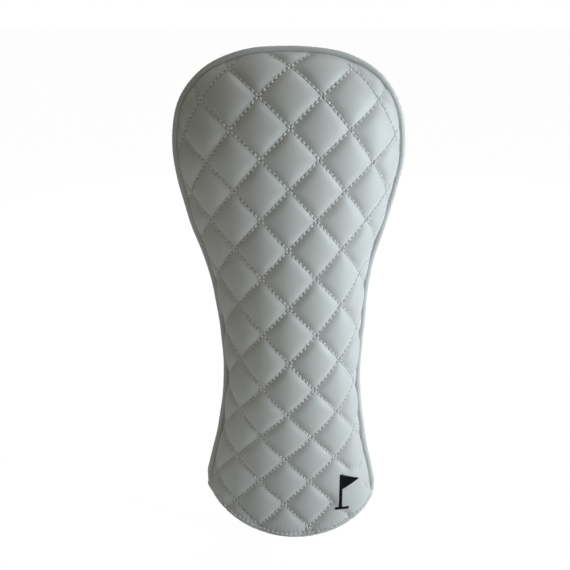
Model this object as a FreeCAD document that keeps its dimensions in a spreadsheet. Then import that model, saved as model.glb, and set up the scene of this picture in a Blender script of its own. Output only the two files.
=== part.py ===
"""Driver head cover: a quilted leather sock that slips over a golf driver's head.

Two padded walls, front and back, meet in a side seam that runs up one side, over the crown
and down the other, with a corded piping let into it.  Each wall is four layers deep: leather,
wadding, backing cloth and plush lining.  The walls hug a round head, draw in to a waist that
an elastic band holds on the shaft, and flare out to a skirt with a curved hem.

Frame: millimetres, +Z up along the shaft, the front wall faces -Y and the seam lies in the
plane y = 0.  The origin is the top of the inside, where the tip of the club head rests.
"""
import FreeCAD, Part
import math
import os

import Sketcher

V = FreeCAD.Vector
REACH = 600.0          # half size of the blocks that trim the walls, well past the cover
UP = V(0, 0, 1)
ALONG_Y = V(0, 1, 0)

doc = FreeCAD.newDocument("driver_head_cover")
sheet = doc.addObject("Spreadsheet::Sheet", "dims")

# Driving dimensions.  A level is measured down from the top of the piping; a width and a
# depth are measured over the leather, and a centre is how far the section lies from the
# seam plane, towards the back.
DIMENSIONS = (
    ("cover_length", 364.0, "top of the piping to the lowest point of the hem"),
    ("crown_rise", 64.8, "widest level to the top of the leather"),
    ("crown_power", 2.5, "squareness of the crown seen from the front"),
    ("head_width", 153.6, "widest level"),
    ("head_depth", 76.0, ""),
    ("chest_level", 110.0, "where the club head starts to narrow"),
    ("chest_taper", 15.6, "how much narrower than the head"),
    ("chest_depth", 74.0, ""),
    ("chest_centre", 0.0, ""),
    ("shoulder_level", 155.0, "under the club head"),
    ("shoulder_width", 111.0, ""),
    ("shoulder_depth", 68.0, ""),
    ("shoulder_centre", -3.5, ""),
    ("nape_level", 200.0, "between shoulder and waist"),
    ("nape_width", 99.6, ""),
    ("nape_depth", 60.0, ""),
    ("nape_centre", -8.5, ""),
    ("waist_level", 240.0, "narrowest level, where the elastic is"),
    ("waist_width", 96.0, ""),
    ("waist_depth", 56.0, ""),
    ("waist_centre", -11.0, ""),
    ("flare_rise", 82.0, "skirt, where it opens, above the lowest point of the hem"),
    ("flare_width", 106.0, ""),
    ("flare_depth", 53.0, ""),
    ("flare_centre", -6.0, ""),
    ("skirt_rise", 39.0, "skirt, beside the hem's corners, above its lowest point"),
    ("skirt_width", 124.4, ""),
    ("skirt_depth", 49.0, ""),
    ("skirt_centre", -1.0, ""),
    ("mouth_width", 139.0, "skirt's outline carried on past the hem"),
    ("mouth_depth", 46.0, ""),
    ("mouth_run", 14.0, "how far past the hem the outline is carried"),
    ("hem_radius", 86.0, "curve of the hem seen from the front"),
    ("leather", 1.0, "thickness of the outer leather"),
    ("wadding", 4.5, "thickness of the foam behind it"),
    ("backing", 0.4, "cloth that the quilting is sewn through to"),
    ("lining", 3.2, "plush lining with its pile"),
    ("lining_seam_back", 2.0, "how far the lining's own seam lies behind the leather's"),
    ("cord_diameter", 3.0, "core of the piping"),
    ("piping_leather", 0.75, "leather strip round the core; two of them make the flange"),
    ("bead_rise", 0.95, "how far the core's centre stands outside the leather"),
    ("facing_height", 12.0, "leather turned up inside the hem"),
    ("facing_leather", 1.0, ""),
    ("elastic_width", 25.0, ""),
    ("elastic_thickness", 1.2, ""),
    ("casing_tape", 0.4, "thickness of the casing over the elastic"),
    ("casing_margin", 3.5, "casing past the elastic, where it is sewn down"),
    ("thread_diameter", 0.7, ""),
    ("stitch_pitch", 3.5, "hole to hole"),
    ("stitch_length", 2.7, "thread seen between two holes"),
    ("hem_stitch_inset", 3.2, "hem to its row of stitches"),
    ("diamond_height", 40.5, "quilting, corner to corner"),
    ("diamond_width", 38.1, ""),
    ("first_corner", 19.9, "crown seam to the first crossing of the quilting"),
    ("quilt_seam_gap", 2.0, "quilting stops short of the side seam"),
    ("quilt_hem_gap", 4.5, "quilting stops short of the hem"),
    ("runs_per_side", 4.0, "straight runs of thread along one side of a diamond"),
    ("emblem_height", 32.0, "embroidered flag"),
    ("emblem_width", 18.0, ""),
    ("emblem_stroke", 2.6, "pole and ground line"),
    ("pennant_height", 14.0, "where it meets the pole"),
    ("emblem_pile", 1.0, "height of the embroidery on the leather"),
    ("emblem_side", 45.0, "middle of the emblem, to the right of the cover's middle"),
    ("emblem_base", 22.0, "foot of the emblem above the lowest point of the hem"),
)
for row, (alias, value, note) in enumerate(DIMENSIONS, start=1):
    sheet.set("A%d" % row, alias)
    sheet.set("B%d" % row, repr(value))
    sheet.set("C%d" % row, note)
    sheet.setAlias("B%d" % row, alias)
doc.recompute()


def size(alias):
    """The number in one cell of the sheet."""
    return float(sheet.get(alias))


def size_of(expression):
    """The number that a sheet expression comes to."""
    return float(sheet.evalExpression(expression))


def bind(item, **expressions):
    """Ties properties of an object to the sheet; a double underscore stands for a dot."""
    for name, text in expressions.items():
        item.setExpression(name.replace("__", "."), text)
    return item


# Depths into the wall, from the leather's outer face.
WALL = "dims.leather + dims.wadding + dims.backing + dims.lining"
BACKING_FACE = "dims.leather + dims.wadding"
LINING_FACE = "dims.leather + dims.wadding + dims.backing"
BEAD_RADIUS = "(dims.cord_diameter / 2 + dims.piping_leather)"
TOP = "(%s + dims.bead_rise + %s)" % (WALL, BEAD_RADIUS)
LOWEST = "(%s - dims.cover_length)" % TOP

# Share of the crown's rise at which a section is taken, from near the top down.
CROWN_SHARES = (0.97, 0.90, 0.78, 0.60, 0.35)

# Level and width of each section below the head; the skirt's go with the hem.
BELOW_THE_HEAD = (
    ("chest", "dims.chest_level", "dims.head_width - dims.chest_taper"),
    ("shoulder", "dims.shoulder_level", "dims.shoulder_width"),
    ("nape", "dims.nape_level", "dims.nape_width"),
    ("waist", "dims.waist_level", "dims.waist_width"),
    ("flare", "(dims.cover_length - dims.flare_rise)", "dims.flare_width"),
    ("skirt", "(dims.cover_length - dims.skirt_rise)", "dims.skirt_width"),
)

# How finely a curve is read where thread or piping follows it.
SEAM_SPANS = 18
SPINE_SAMPLES = 500
ARM_SAMPLES = 80
QUARTER = 0.25            # a quarter of the way round a form, as its surface counts it


# ---------------------------------------------------------------- the nested forms
def section(name, width, depth, centre, level, inset):
    """An ellipse across the cover, inset from the leather's outer face."""
    ring = doc.addObject("Part::Ellipse", name)
    bind(
        ring,
        MajorRadius="%s - (%s)" % (width, inset),
        MinorRadius="%s - (%s)" % (depth, inset),
        Placement__Base__y=centre,
        Placement__Base__z=level,
    )
    return ring


def form(name, inset):
    """The solid inside one face of the wall: a loft from the crown down past the hem."""
    tip = doc.addObject("Part::Vertex", name + "_tip")
    bind(tip, Placement__Base__z="%s - (%s)" % (WALL, inset))
    rings = [tip]
    widest = "(%s - dims.crown_rise)" % WALL
    for number, share in enumerate(CROWN_SHARES):
        across = "((dims.head_width / 2 - (%s)) * (1 - %s ^ dims.crown_power) ^ (1 / dims.crown_power))"
        through = "((dims.head_depth / 2 - (%s)) * sqrt(1 - %s ^ 2))"
        rings.append(section(
            "%s_crown_%d" % (name, number),
            across % (inset, share),
            through % (inset, share),
            "0",
            "%s + (dims.crown_rise - (%s)) * %s" % (widest, inset, share),
            "0",
        ))
    rings.append(section(name + "_head", "dims.head_width / 2", "dims.head_depth / 2", "0", widest, inset))
    for station, level, width in BELOW_THE_HEAD:
        rings.append(section(
            "%s_%s" % (name, station),
            "(%s) / 2" % width,
            "dims.%s_depth / 2" % station,
            "dims.%s_centre" % station,
            "%s - %s" % (TOP, level),
            inset,
        ))
    rings.append(section(
        name + "_mouth",
        "dims.mouth_width / 2",
        "dims.mouth_depth / 2",
        "0",
        "%s - dims.mouth_run" % LOWEST,
        inset,
    ))
    loft = doc.addObject("Part::Loft", name)
    loft.Sections = rings
    loft.Solid = True
    loft.Ruled = False
    return loft


bead_line = form("bead_line", "0 - dims.bead_rise")
emblem_top = form("emblem_top", "0 - dims.emblem_pile")
leather_form = form("leather_form", "0")
wadding_form = form("wadding_form", "dims.leather")
backing_form = form("backing_form", BACKING_FACE)
lining_form = form("lining_form", LINING_FACE)
facing_form = form("facing_form", LINING_FACE + " + dims.facing_leather")
elastic_form = form("elastic_form", LINING_FACE + " + dims.elastic_thickness")
casing_form = form("casing_form", LINING_FACE + " + dims.elastic_thickness + dims.casing_tape")
inside_form = form("inside_form", WALL)


# ---------------------------------------------------------------- blocks that trim the walls
def block(name, **expressions):
    """A box bound to the sheet, as wide and deep as the trimming blocks unless told otherwise."""
    box = doc.addObject("Part::Box", name)
    box.Length = 2 * REACH
    box.Width = 2 * REACH
    box.Height = 2 * REACH
    box.Placement.Base = V(-REACH, -REACH, -REACH)
    return bind(box, **expressions)


def side_block(name, facing, plane):
    """All that lies in front of a plane (facing -1) or behind it (facing +1)."""
    start = plane if facing > 0 else "%s - %s" % (plane, 2 * REACH)
    return block(name, Placement__Base__y=start)


def above_hem(name, lift):
    """All that lies above the hem's curve, raised by a distance."""
    disc = doc.addObject("Part::Cylinder", name + "_disc")
    disc.Height = 2 * REACH
    disc.Placement = FreeCAD.Placement(V(0, REACH, 0), FreeCAD.Rotation(V(1, 0, 0), 90))
    centre = "%s + dims.hem_radius + (%s)" % (LOWEST, lift)
    bind(disc, Radius="dims.hem_radius", Placement__Base__z=centre)
    top = block(name + "_top", Placement__Base__z=centre)
    both = doc.addObject("Part::Fuse", name)
    both.Base = disc
    both.Tool = top
    return both


def band(name, height):
    """A slice of the cover at the waist, centred on it."""
    bottom = "%s - dims.waist_level - (%s) / 2" % (TOP, height)
    return block(name, Height=height, Placement__Base__z=bottom)


def cut(name, base, tool):
    """base without tool."""
    item = doc.addObject("Part::Cut", name)
    item.Base = base
    item.Tool = tool
    item.Refine = False
    return item


def common(name, *shapes):
    """What all the shapes share."""
    item = doc.addObject("Part::MultiCommon", name)
    item.Shapes = list(shapes)
    item.Refine = False
    return item


def fuse(name, *shapes):
    """The shapes joined into one."""
    item = doc.addObject("Part::MultiFuse", name)
    item.Shapes = list(shapes)
    item.Refine = False
    return item


SIDES = {"front": -1, "back": 1}
FLANGE = "dims.piping_leather"       # half of the flange, on each side of the seam plane
walled = {
    side: side_block(side + "_of_flange", facing, "%d * %s" % (facing, FLANGE))
    for side, facing in SIDES.items()
}
lined = {
    side: side_block(side + "_of_lining_seam", facing, "dims.lining_seam_back")
    for side, facing in SIDES.items()
}
turned = {
    side: side_block(side + "_of_bead", facing, "%d * %s" % (facing, BEAD_RADIUS))
    for side, facing in SIDES.items()
}
over_hem = above_hem("over_hem", "0")
over_web = above_hem("over_web", "dims.facing_leather")
over_facing = above_hem("over_facing", "dims.facing_height")
elastic_band = band("elastic_band", "dims.elastic_width")
casing_band = band("casing_band", "dims.elastic_width + 2 * dims.casing_margin")
nodes = {}


def node(name, item):
    """Registers a sub-part under the name that its file gets."""
    item.Label = name
    nodes[name] = item
    return item


# ---------------------------------------------------------------- piping
def arc_to(start, tangent, end):
    """The arc that leaves start along tangent and reaches end, and its tangent there."""
    chord = end - start
    reach = FreeCAD.Vector(chord).normalize()
    half = tangent.getAngle(reach)
    if half < 1e-4:
        return Part.LineSegment(start, end).toShape(), reach
    lean = (tangent + reach).normalize()
    middle = start + lean * (chord.Length / (2 * math.cos(half / 2)))
    leaving = reach * (2 * tangent.dot(reach)) - tangent
    return Part.Arc(start, middle, end).toShape(), leaving.normalize()


def biarc(start, start_tangent, end, end_tangent):
    """Two tangent arcs from start to end with the tangents given."""
    span = end - start
    lean = span.dot(start_tangent + end_tangent)
    slack = 2 * (1 - start_tangent.dot(end_tangent))
    if slack < 1e-9:
        arm = span.dot(span) / (2 * lean)
    else:
        arm = (math.sqrt(lean ** 2 + slack * span.dot(span)) - lean) / slack
    joint = (start + start_tangent * arm + end - end_tangent * arm) * 0.5
    first, tangent = arc_to(start, start_tangent, joint)
    second, _ = arc_to(joint, tangent, end)
    return [first, second]


def seam_path(solid, spans):
    """The side seam as tangent arcs: up one side, over the crown and down the other."""
    edges = [edge for wire in solid.slice(ALONG_Y, 0.0) for edge in wire.Edges]
    line = max((edge for edge in edges if edge.Curve.TypeId != "Part::GeomLine"), key=lambda edge: edge.Length)
    points = line.discretize(Number=spans + 1)
    tangents = [line.tangentAt(line.Curve.parameter(point)) for point in points]
    if points[0].z < points[-1].z:
        points.reverse()
        tangents.reverse()
    side = math.copysign(1, points[-1].x)
    points = [V(side * point.x, 0, point.z) for point in points]
    tangents = [V(side * t.x, 0, t.z) * math.copysign(1, -t.z) for t in tangents]
    tangents[0] = V(1, 0, 0)
    right = []
    for number in range(spans):
        right += biarc(points[number], tangents[number], points[number + 1], tangents[number + 1])
    half_turn = FreeCAD.Rotation(UP, 180).toMatrix()
    left = [edge.transformed(half_turn) for edge in right]
    return Part.Wire(Part.__sortEdges__(left + right))


doc.recompute()
path = doc.addObject("Part::Feature", "seam_path")
path.Shape = seam_path(bead_line.Shape, SEAM_SPANS)
path_edges = ["Edge%d" % (number + 1) for number in range(len(path.Shape.Edges))]


def bead(name, radius):
    """A round swept along the side seam."""
    ring = doc.addObject("Part::Circle", name + "_round")
    start = path.Shape.OrderedVertexes[0].Point
    heading = path.Shape.OrderedEdges[0].tangentAt(path.Shape.OrderedEdges[0].FirstParameter)
    ring.Placement = FreeCAD.Placement(start, FreeCAD.Rotation(UP, heading))
    bind(ring, Radius=radius)
    sweep = doc.addObject("Part::Sweep", name)
    sweep.Sections = [ring]
    sweep.Spine = (path, path_edges)
    sweep.Solid = True
    sweep.Frenet = False
    return sweep


bead_outside = bead("bead_outside", BEAD_RADIUS)
bead_inside = bead("bead_inside", "dims.cord_diameter / 2")
node("piping_cord", common("piping_core", bead_inside, over_hem))
flange_slab = block("flange_slab", Width="2 * " + FLANGE, Placement__Base__y="0 - " + FLANGE)
flange = common("flange", cut("flange_wall", leather_form, lining_form), flange_slab)
piping_strip = cut("piping_strip", fuse("piping_solid", bead_outside, flange), bead_inside)
node("piping_cover", common("piping_trimmed", piping_strip, over_hem))


# ---------------------------------------------------------------- layers of the two walls
leather_shell = cut("leather_shell", cut("leather_ring", leather_form, wadding_form), bead_outside)
wadding_shell = cut("wadding_shell", cut("wadding_ring", wadding_form, backing_form), bead_outside)
backing_shell = cut("backing_shell", backing_form, lining_form)
lining_shell = cut("lining_shell", lining_form, inside_form)
facing_shell = common(
    "facing_shell",
    cut("facing_ring", lining_form, facing_form),
    cut("facing_zone", over_hem, over_facing),
)
web_shell = common(
    "web_shell",
    cut("web_ring", wadding_form, lining_form),
    cut("web_zone", over_hem, over_web),
)

for side in SIDES:
    node(side + "_leather", common(side + "_leather_wall", leather_shell, walled[side], over_hem))
    node(side + "_wadding", common(side + "_wadding_wall", wadding_shell, walled[side], over_web))
    node(side + "_backing", common(side + "_backing_wall", backing_shell, walled[side], over_web))
    facing_strip = common(side + "_facing_strip", facing_shell, turned[side])
    hem_web = common(side + "_hem_web", web_shell, turned[side])
    node(side + "_hem_facing", fuse(side + "_hem_turned", facing_strip, hem_web))


# ---------------------------------------------------------------- elastic at the back of the waist
elastic = common("elastic", cut("elastic_ring", lining_form, elastic_form), lined["back"], elastic_band)
casing_room = common("casing_room", cut("casing_ring", lining_form, casing_form), lined["back"], casing_band)
node("waist_elastic", elastic)
node("elastic_casing", cut("casing", casing_room, elastic))
node("front_lining", common("front_lining_wall", lining_shell, lined["front"], over_facing))
back_lining = common("back_lining_wall", lining_shell, lined["back"], over_facing)
node("back_lining", cut("back_lining_let_in", back_lining, casing_room))
doc.recompute()


# ---------------------------------------------------------------- thread
class Skin:
    """The leather's outer face, seen as a surface that thread can lie on."""

    def __init__(self, solid):
        self.surface = max(solid.Faces, key=lambda face: face.Area).Surface

    def outward(self, u, v):
        """Unit normal that points out of the cover."""
        normal = self.surface.normal(u, v)
        here = self.surface.value(u, v)
        axis = (self.surface.value(QUARTER, v) + self.surface.value(1 - QUARTER, v)) * 0.5
        away = V(here.x - axis.x, here.y - axis.y, 0)
        return normal if normal.dot(away) > 0 else normal * -1

    def lay(self, start, end, thickness):
        """A straight run of thread between two points of the surface, lying on it."""
        spots = [self.surface.parameter(point) for point in (start, end, (start + end) * 0.5)]
        middle = self.surface.value(*spots[2])
        lift = thickness / 2 + (middle - (start + end) * 0.5).Length
        start = start + self.outward(*spots[0]) * lift
        end = end + self.outward(*spots[1]) * lift
        return Part.makeCylinder(thickness / 2, (end - start).Length, start, end - start)


def thread_node(name, solids):
    """Every stitch of one seam, as separate solids in one node."""
    item = doc.addObject("Part::Feature", name + "_stitches")
    item.Shape = Part.makeCompound(solids)
    return node(name, item)


def stitch_row(skin, edges, facing):
    """Stitches at an even pitch along the edges, on one side of the seam."""
    clear = size("piping_leather") + size("cord_diameter") + size("quilt_seam_gap")
    stitches = []
    for edge in edges:
        points = edge.discretize(Number=max(2, round(edge.Length / size("stitch_pitch"))))
        for here, there in zip(points, points[1:]):
            end = here + (there - here).normalize() * size("stitch_length")
            if min(here.y * facing, end.y * facing) > clear:
                stitches.append(skin.lay(here, end, size("thread_diameter")))
    return stitches


def at_length(points, lengths, wanted):
    """The point of a polyline at a length along it, or None past its end."""
    for number in range(1, len(points)):
        if lengths[number] >= wanted:
            share = (wanted - lengths[number - 1]) / (lengths[number] - lengths[number - 1])
            return points[number - 1] + (points[number] - points[number - 1]) * share
    return None


def measured(points):
    """Length along a polyline at each of its points."""
    lengths = [0.0]
    for here, there in zip(points, points[1:]):
        lengths.append(lengths[-1] + (there - here).Length)
    return lengths


def quilting(skin, facing):
    """Runs of thread along the diamonds of one wall.

    The diamonds' corners lie on rows and columns measured along the leather: columns from
    the wall's middle line, rows down that line from the crown.
    """
    half_high = size("diamond_height") / 2
    half_wide = size("diamond_width") / 2
    middle_u = 0.5 - QUARTER * facing
    lowest = size_of(LOWEST)
    steps = [number / SPINE_SAMPLES for number in range(SPINE_SAMPLES + 1)]
    spine = [skin.surface.value(middle_u, v) for v in steps]
    spine_lengths = measured(spine)
    per_side = round(size("runs_per_side"))
    rows = []
    row_count = int((spine_lengths[-1] - size("first_corner")) / half_high * per_side)
    first_row = -int(size("first_corner") / half_high * per_side)
    for row in range(first_row, row_count):
        target = size("first_corner") + row * half_high / per_side
        index = next(i for i, reached in enumerate(spine_lengths) if reached >= target)
        share = (target - spine_lengths[index - 1]) / (spine_lengths[index] - spine_lengths[index - 1])
        v = (index - 1 + share) / SPINE_SAMPLES
        arms = {}
        for way in (1, -1):
            around = [middle_u + way * QUARTER * n / ARM_SAMPLES for n in range(ARM_SAMPLES + 1)]
            points = [skin.surface.value(u, v) for u in around]
            arms[way] = (points, measured(points))
        rows.append((row, arms))

    def place(entry, column):
        """The point where a thread crosses a row, or None where the wall ends."""
        row, arms = entry
        points, lengths = arms[1 if column >= 0 else -1]
        point = at_length(points, lengths, abs(column) * half_wide)
        if point is None or point.y * facing < size("piping_leather") + size("quilt_seam_gap"):
            return None
        hem = lowest + size("hem_radius") - math.sqrt(size("hem_radius") ** 2 - point.x ** 2)
        return point if point.z > hem + size("quilt_hem_gap") else None

    runs = []
    widest = math.ceil(size("head_width") / half_wide)
    for above, below in zip(rows, rows[1:]):
        for slant in (1, -1):
            for line in range(-2 * widest, 2 * widest + 1):
                columns = [2 * line + slant * entry[0] / per_side for entry in (above, below)]
                start = place(above, columns[0])
                end = place(below, columns[1])
                if start and end:
                    runs.append(skin.lay(start, end, size("thread_diameter")))
    return runs


skin = Skin(leather_form.Shape)
outer_face = max(leather_form.Shape.Faces, key=lambda face: face.Area)
hem_line = above_hem("hem_line", "dims.hem_stitch_inset")
doc.recompute()
hem_edges = outer_face.section(hem_line.Shape).Edges
waist = size_of("%s - dims.waist_level" % TOP)
row_apart = (size("elastic_width") + size("casing_margin")) / 2
for side, facing in SIDES.items():
    thread_node(side + "_hem_thread", stitch_row(skin, hem_edges, facing))
    thread_node(side + "_quilting_thread", quilting(skin, facing))
waist_edges = []
for level in (waist - row_apart, waist + row_apart):
    waist_edges += [edge for wire in outer_face.slice(UP, level) for edge in wire.Edges]
thread_node("waist_thread", stitch_row(skin, waist_edges, SIDES["back"]))


# ---------------------------------------------------------------- emblem
def drawn(name, corners):
    """A pad through the front of the cover with the corners given, seen from the front."""
    body = doc.addObject("PartDesign::Body", name)
    sketch = body.newObject("Sketcher::SketchObject", name + "_outline")
    plane = next(item for item in body.Origin.OriginFeatures if item.Role == "XZ_Plane")
    sketch.AttachmentSupport = [(plane, "")]
    sketch.MapMode = "FlatFace"
    count = len(corners)
    around = [V(math.cos(2 * math.pi * n / count), math.sin(2 * math.pi * n / count), 0) * 10 for n in range(count)]
    for number in range(count):
        sketch.addGeometry(Part.LineSegment(around[number], around[(number + 1) % count]), False)
    for number in range(count):
        sketch.addConstraint(Sketcher.Constraint("Coincident", number, 2, (number + 1) % count, 1))
    for number, (across, up) in enumerate(corners):
        for kind, expression in (("DistanceX", across), ("DistanceY", up)):
            value = size_of(expression)
            index = sketch.addConstraint(Sketcher.Constraint(kind, -1, 1, number, 1, value))
            sketch.setExpression("Constraints[%d]" % index, expression)
    pad = body.newObject("PartDesign::Pad", name + "_pad")
    pad.Profile = sketch
    pad.Length = REACH
    pad.Reversed = False
    body.Tip = pad
    return body


POLE_LEFT = "dims.emblem_side - dims.emblem_width / 2 + dims.emblem_stroke"
POLE_RIGHT = POLE_LEFT + " + dims.emblem_stroke"
PENNANT_TIP = "dims.emblem_side + dims.emblem_width / 2"
GROUND_LEFT = "dims.emblem_side - dims.emblem_width / 2"
GROUND_RIGHT = POLE_RIGHT + " + 2 * dims.emblem_stroke"
FOOT = LOWEST + " + dims.emblem_base"
HEAD = FOOT + " + dims.emblem_height"
pole = drawn("pole", (
    (POLE_LEFT, FOOT + " + dims.emblem_stroke"),
    (POLE_RIGHT, FOOT + " + dims.emblem_stroke"),
    (POLE_RIGHT, HEAD),
    (POLE_LEFT, HEAD),
))
pennant = drawn("pennant", (
    (POLE_RIGHT, HEAD),
    (POLE_RIGHT, HEAD + " - dims.pennant_height"),
    (PENNANT_TIP, HEAD + " - dims.pennant_height / 2"),
))
ground = drawn("ground", (
    (GROUND_LEFT, FOOT),
    (GROUND_RIGHT, FOOT),
    (GROUND_RIGHT, FOOT + " + dims.emblem_stroke"),
    (GROUND_LEFT, FOOT + " + dims.emblem_stroke"),
))
pile = cut("emblem_ring", emblem_top, leather_form)
stitched = common("emblem_front", pile, walled["front"])
node("flag_emblem", common("emblem_shape", stitched, fuse("emblem_drawing", pole, pennant, ground)))
doc.recompute()


# ---------------------------------------------------------------- checks and files
for item in doc.Objects:
    if "Invalid" in item.State or "Error" in item.State:
        raise RuntimeError("%s failed: %s" % (item.Name, item.State))
os.makedirs("parts", exist_ok=True)
for name, item in sorted(nodes.items()):
    shape = item.Shape
    if shape.isNull() or not shape.isValid() or not shape.Solids:
        raise RuntimeError("%s has no valid solid" % name)
    print("%-24s %4d solids %10.1f mm3" % (name, len(shape.Solids), shape.Volume))
    shape.exportStep("parts/%s.step" % name)
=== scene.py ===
"""Looks of the driver head cover: quilted leather walls, piping, thread, lining and emblem.

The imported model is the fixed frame.  Shape code works in millimetres in that frame and the
meshes are written in metres.  Every new piece rides on the one body and replaces the plain
solids that it stands for.
"""

import logging
import math
from dataclasses import dataclass, field
from enum import Enum
from typing import Any, Callable

import bpy
import numpy as np
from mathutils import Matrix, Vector
from mathutils.bvhtree import BVHTree

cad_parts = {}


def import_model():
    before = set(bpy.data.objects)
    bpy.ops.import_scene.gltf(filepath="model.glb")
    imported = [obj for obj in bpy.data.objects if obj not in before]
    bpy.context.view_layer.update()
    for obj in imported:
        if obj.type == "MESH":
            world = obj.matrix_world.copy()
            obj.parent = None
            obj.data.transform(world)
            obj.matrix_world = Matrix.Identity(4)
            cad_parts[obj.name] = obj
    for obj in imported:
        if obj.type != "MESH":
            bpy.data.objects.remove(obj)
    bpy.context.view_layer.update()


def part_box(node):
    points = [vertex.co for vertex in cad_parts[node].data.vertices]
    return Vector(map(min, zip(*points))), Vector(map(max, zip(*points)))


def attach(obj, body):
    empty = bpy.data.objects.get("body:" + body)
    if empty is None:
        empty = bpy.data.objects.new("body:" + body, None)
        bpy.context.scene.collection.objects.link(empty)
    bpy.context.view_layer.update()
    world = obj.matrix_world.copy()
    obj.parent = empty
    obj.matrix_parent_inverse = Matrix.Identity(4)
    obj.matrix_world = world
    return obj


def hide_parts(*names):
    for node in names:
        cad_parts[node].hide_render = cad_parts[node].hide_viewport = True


MM = 0.001
log = logging.getLogger("head_cover")
Array = np.ndarray
Socket = bpy.types.NodeSocket
Value = Socket | float | tuple
Curve = Callable[[Array], Array]
Field = Callable[[Array, Array], Array]


class Side(Enum):
    """One of the two walls; its value is the way it faces along Y."""

    FRONT = -1
    BACK = 1

    @property
    def label(self) -> str:
        """Word used in node and piece names."""
        return self.name.lower()


# ------------------------------------------------------------------ small tools
def smooth_line(stations: Array, values: Array, wanted: Array) -> Array:
    """A smooth curve through values at stations, level at its first station.

    Args:
        stations: increasing places of the known values.
        values: the known values.
        wanted: places to read the curve at.
    Returns:
        The curve's values, carried on straight past both ends.
    """
    gaps = np.diff(stations)
    secants = np.diff(values) / gaps
    slopes = np.empty_like(values)
    slopes[0] = 0.0
    slopes[-1] = secants[-1]
    slopes[1:-1] = (secants[:-1] * gaps[1:] + secants[1:] * gaps[:-1]) / (gaps[:-1] + gaps[1:])
    spot = np.clip(np.searchsorted(stations, wanted) - 1, 0, len(gaps) - 1)
    gap = gaps[spot]
    share = np.clip((wanted - stations[spot]) / gap, 0, 1)
    start, end = values[spot], values[spot + 1]
    curve = (
        start * (1 + 2 * share) * (1 - share) ** 2
        + slopes[spot] * gap * share * (1 - share) ** 2
        + end * share ** 2 * (3 - 2 * share)
        - slopes[spot + 1] * gap * share ** 2 * (1 - share)
    )
    past = np.maximum(wanted - stations[-1], 0)
    return curve + past * slopes[-1]


def rise(low: float, high: float, value: Array) -> Array:
    """Smooth step from 0 at low to 1 at high."""
    share = np.clip((value - low) / (high - low), 0, 1)
    return share * share * (3 - 2 * share)


def unit(vectors: Array) -> Array:
    """Vectors of length one."""
    return vectors / np.maximum(np.linalg.norm(vectors, axis=-1, keepdims=True), 1e-12)


def deselect() -> None:
    """Clears the selection, so that an operator acts only on what is picked next."""
    for item in bpy.context.selected_objects:
        item.select_set(False)


def pick(piece: bpy.types.Object) -> bpy.types.Object:
    """Makes one object the only selected and the active one.

    Args:
        piece: the mesh object.
    Returns:
        The same object.
    """
    deselect()
    piece.select_set(True)
    bpy.context.view_layer.objects.active = piece
    return piece


def new_piece(name: str, verts: Array, faces: list, smooth: bool = True) -> bpy.types.Object:
    """An object from points in millimetres.

    Args:
        name: the piece's name.
        verts: points, one row each.
        faces: corner numbers of each face.
        smooth: whether the faces are shaded smooth.
    Returns:
        The linked object, with its origin at the frame's origin.
    """
    mesh = bpy.data.meshes.new(name)
    mesh.from_pydata((verts * MM).tolist(), [], [tuple(int(c) for c in face) for face in faces])
    mesh.polygons.foreach_set("use_smooth", [smooth] * len(mesh.polygons))
    mesh.update()
    piece = bpy.data.objects.new(name, mesh)
    bpy.context.scene.collection.objects.link(piece)
    return piece


def points_of(piece: bpy.types.Object) -> Array:
    """A mesh object's points in millimetres.

    Args:
        piece: the mesh object.
    Returns:
        One row for each point.
    """
    flat = np.empty(len(piece.data.vertices) * 3, np.float32)
    piece.data.vertices.foreach_get("co", flat)
    return flat.reshape(-1, 3).astype(float) / MM


def set_points(piece: bpy.types.Object, points: Array) -> None:
    """Moves a mesh object's points, given in millimetres."""
    piece.data.vertices.foreach_set("co", (points * MM).astype(np.float32).ravel())
    piece.data.update()


def face_outwards(piece: bpy.types.Object) -> None:
    """Turns every face of a closed piece outwards.

    Args:
        piece: the mesh object.
    """
    pick(piece)
    bpy.ops.object.mode_set(mode="EDIT")
    bpy.ops.mesh.select_all(action="SELECT")
    bpy.ops.mesh.normals_make_consistent(inside=False)
    bpy.ops.object.mode_set(mode="OBJECT")


def write_uv(piece: bpy.types.Object, name: str, places: Array) -> None:
    """Gives a piece a UV map from one place for each of its points.

    Args:
        piece: the mesh object.
        name: the map's name.
        places: two numbers for each point.
    """
    corners = np.empty(len(piece.data.loops), int)
    piece.data.loops.foreach_get("vertex_index", corners)
    layer = piece.data.uv_layers.new(name=name)
    layer.data.foreach_set("uv", places[corners].astype(np.float32).ravel())


def finish_piece(
    piece: bpy.types.Object, finish: bpy.types.Material, replaced: tuple = (),
) -> None:
    """Gives a piece its material, its body and the nodes that it stands for.

    Args:
        piece: the finished mesh object.
        finish: its material.
        replaced: names of the nodes that it stands for.
    """
    piece.data.materials.clear()
    piece.data.materials.append(finish)
    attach(piece, "root")
    if replaced:
        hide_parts(*replaced)
    log.info("%s: %d faces", piece.name, len(piece.data.polygons))


# ------------------------------------------------------------------ the cover's form
@dataclass(frozen=True)
class Station:
    """A section of the cover: level under the top, half width, half depth, centre in Y (mm)."""

    level: float
    half_width: float
    half_depth: float
    centre: float


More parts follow.
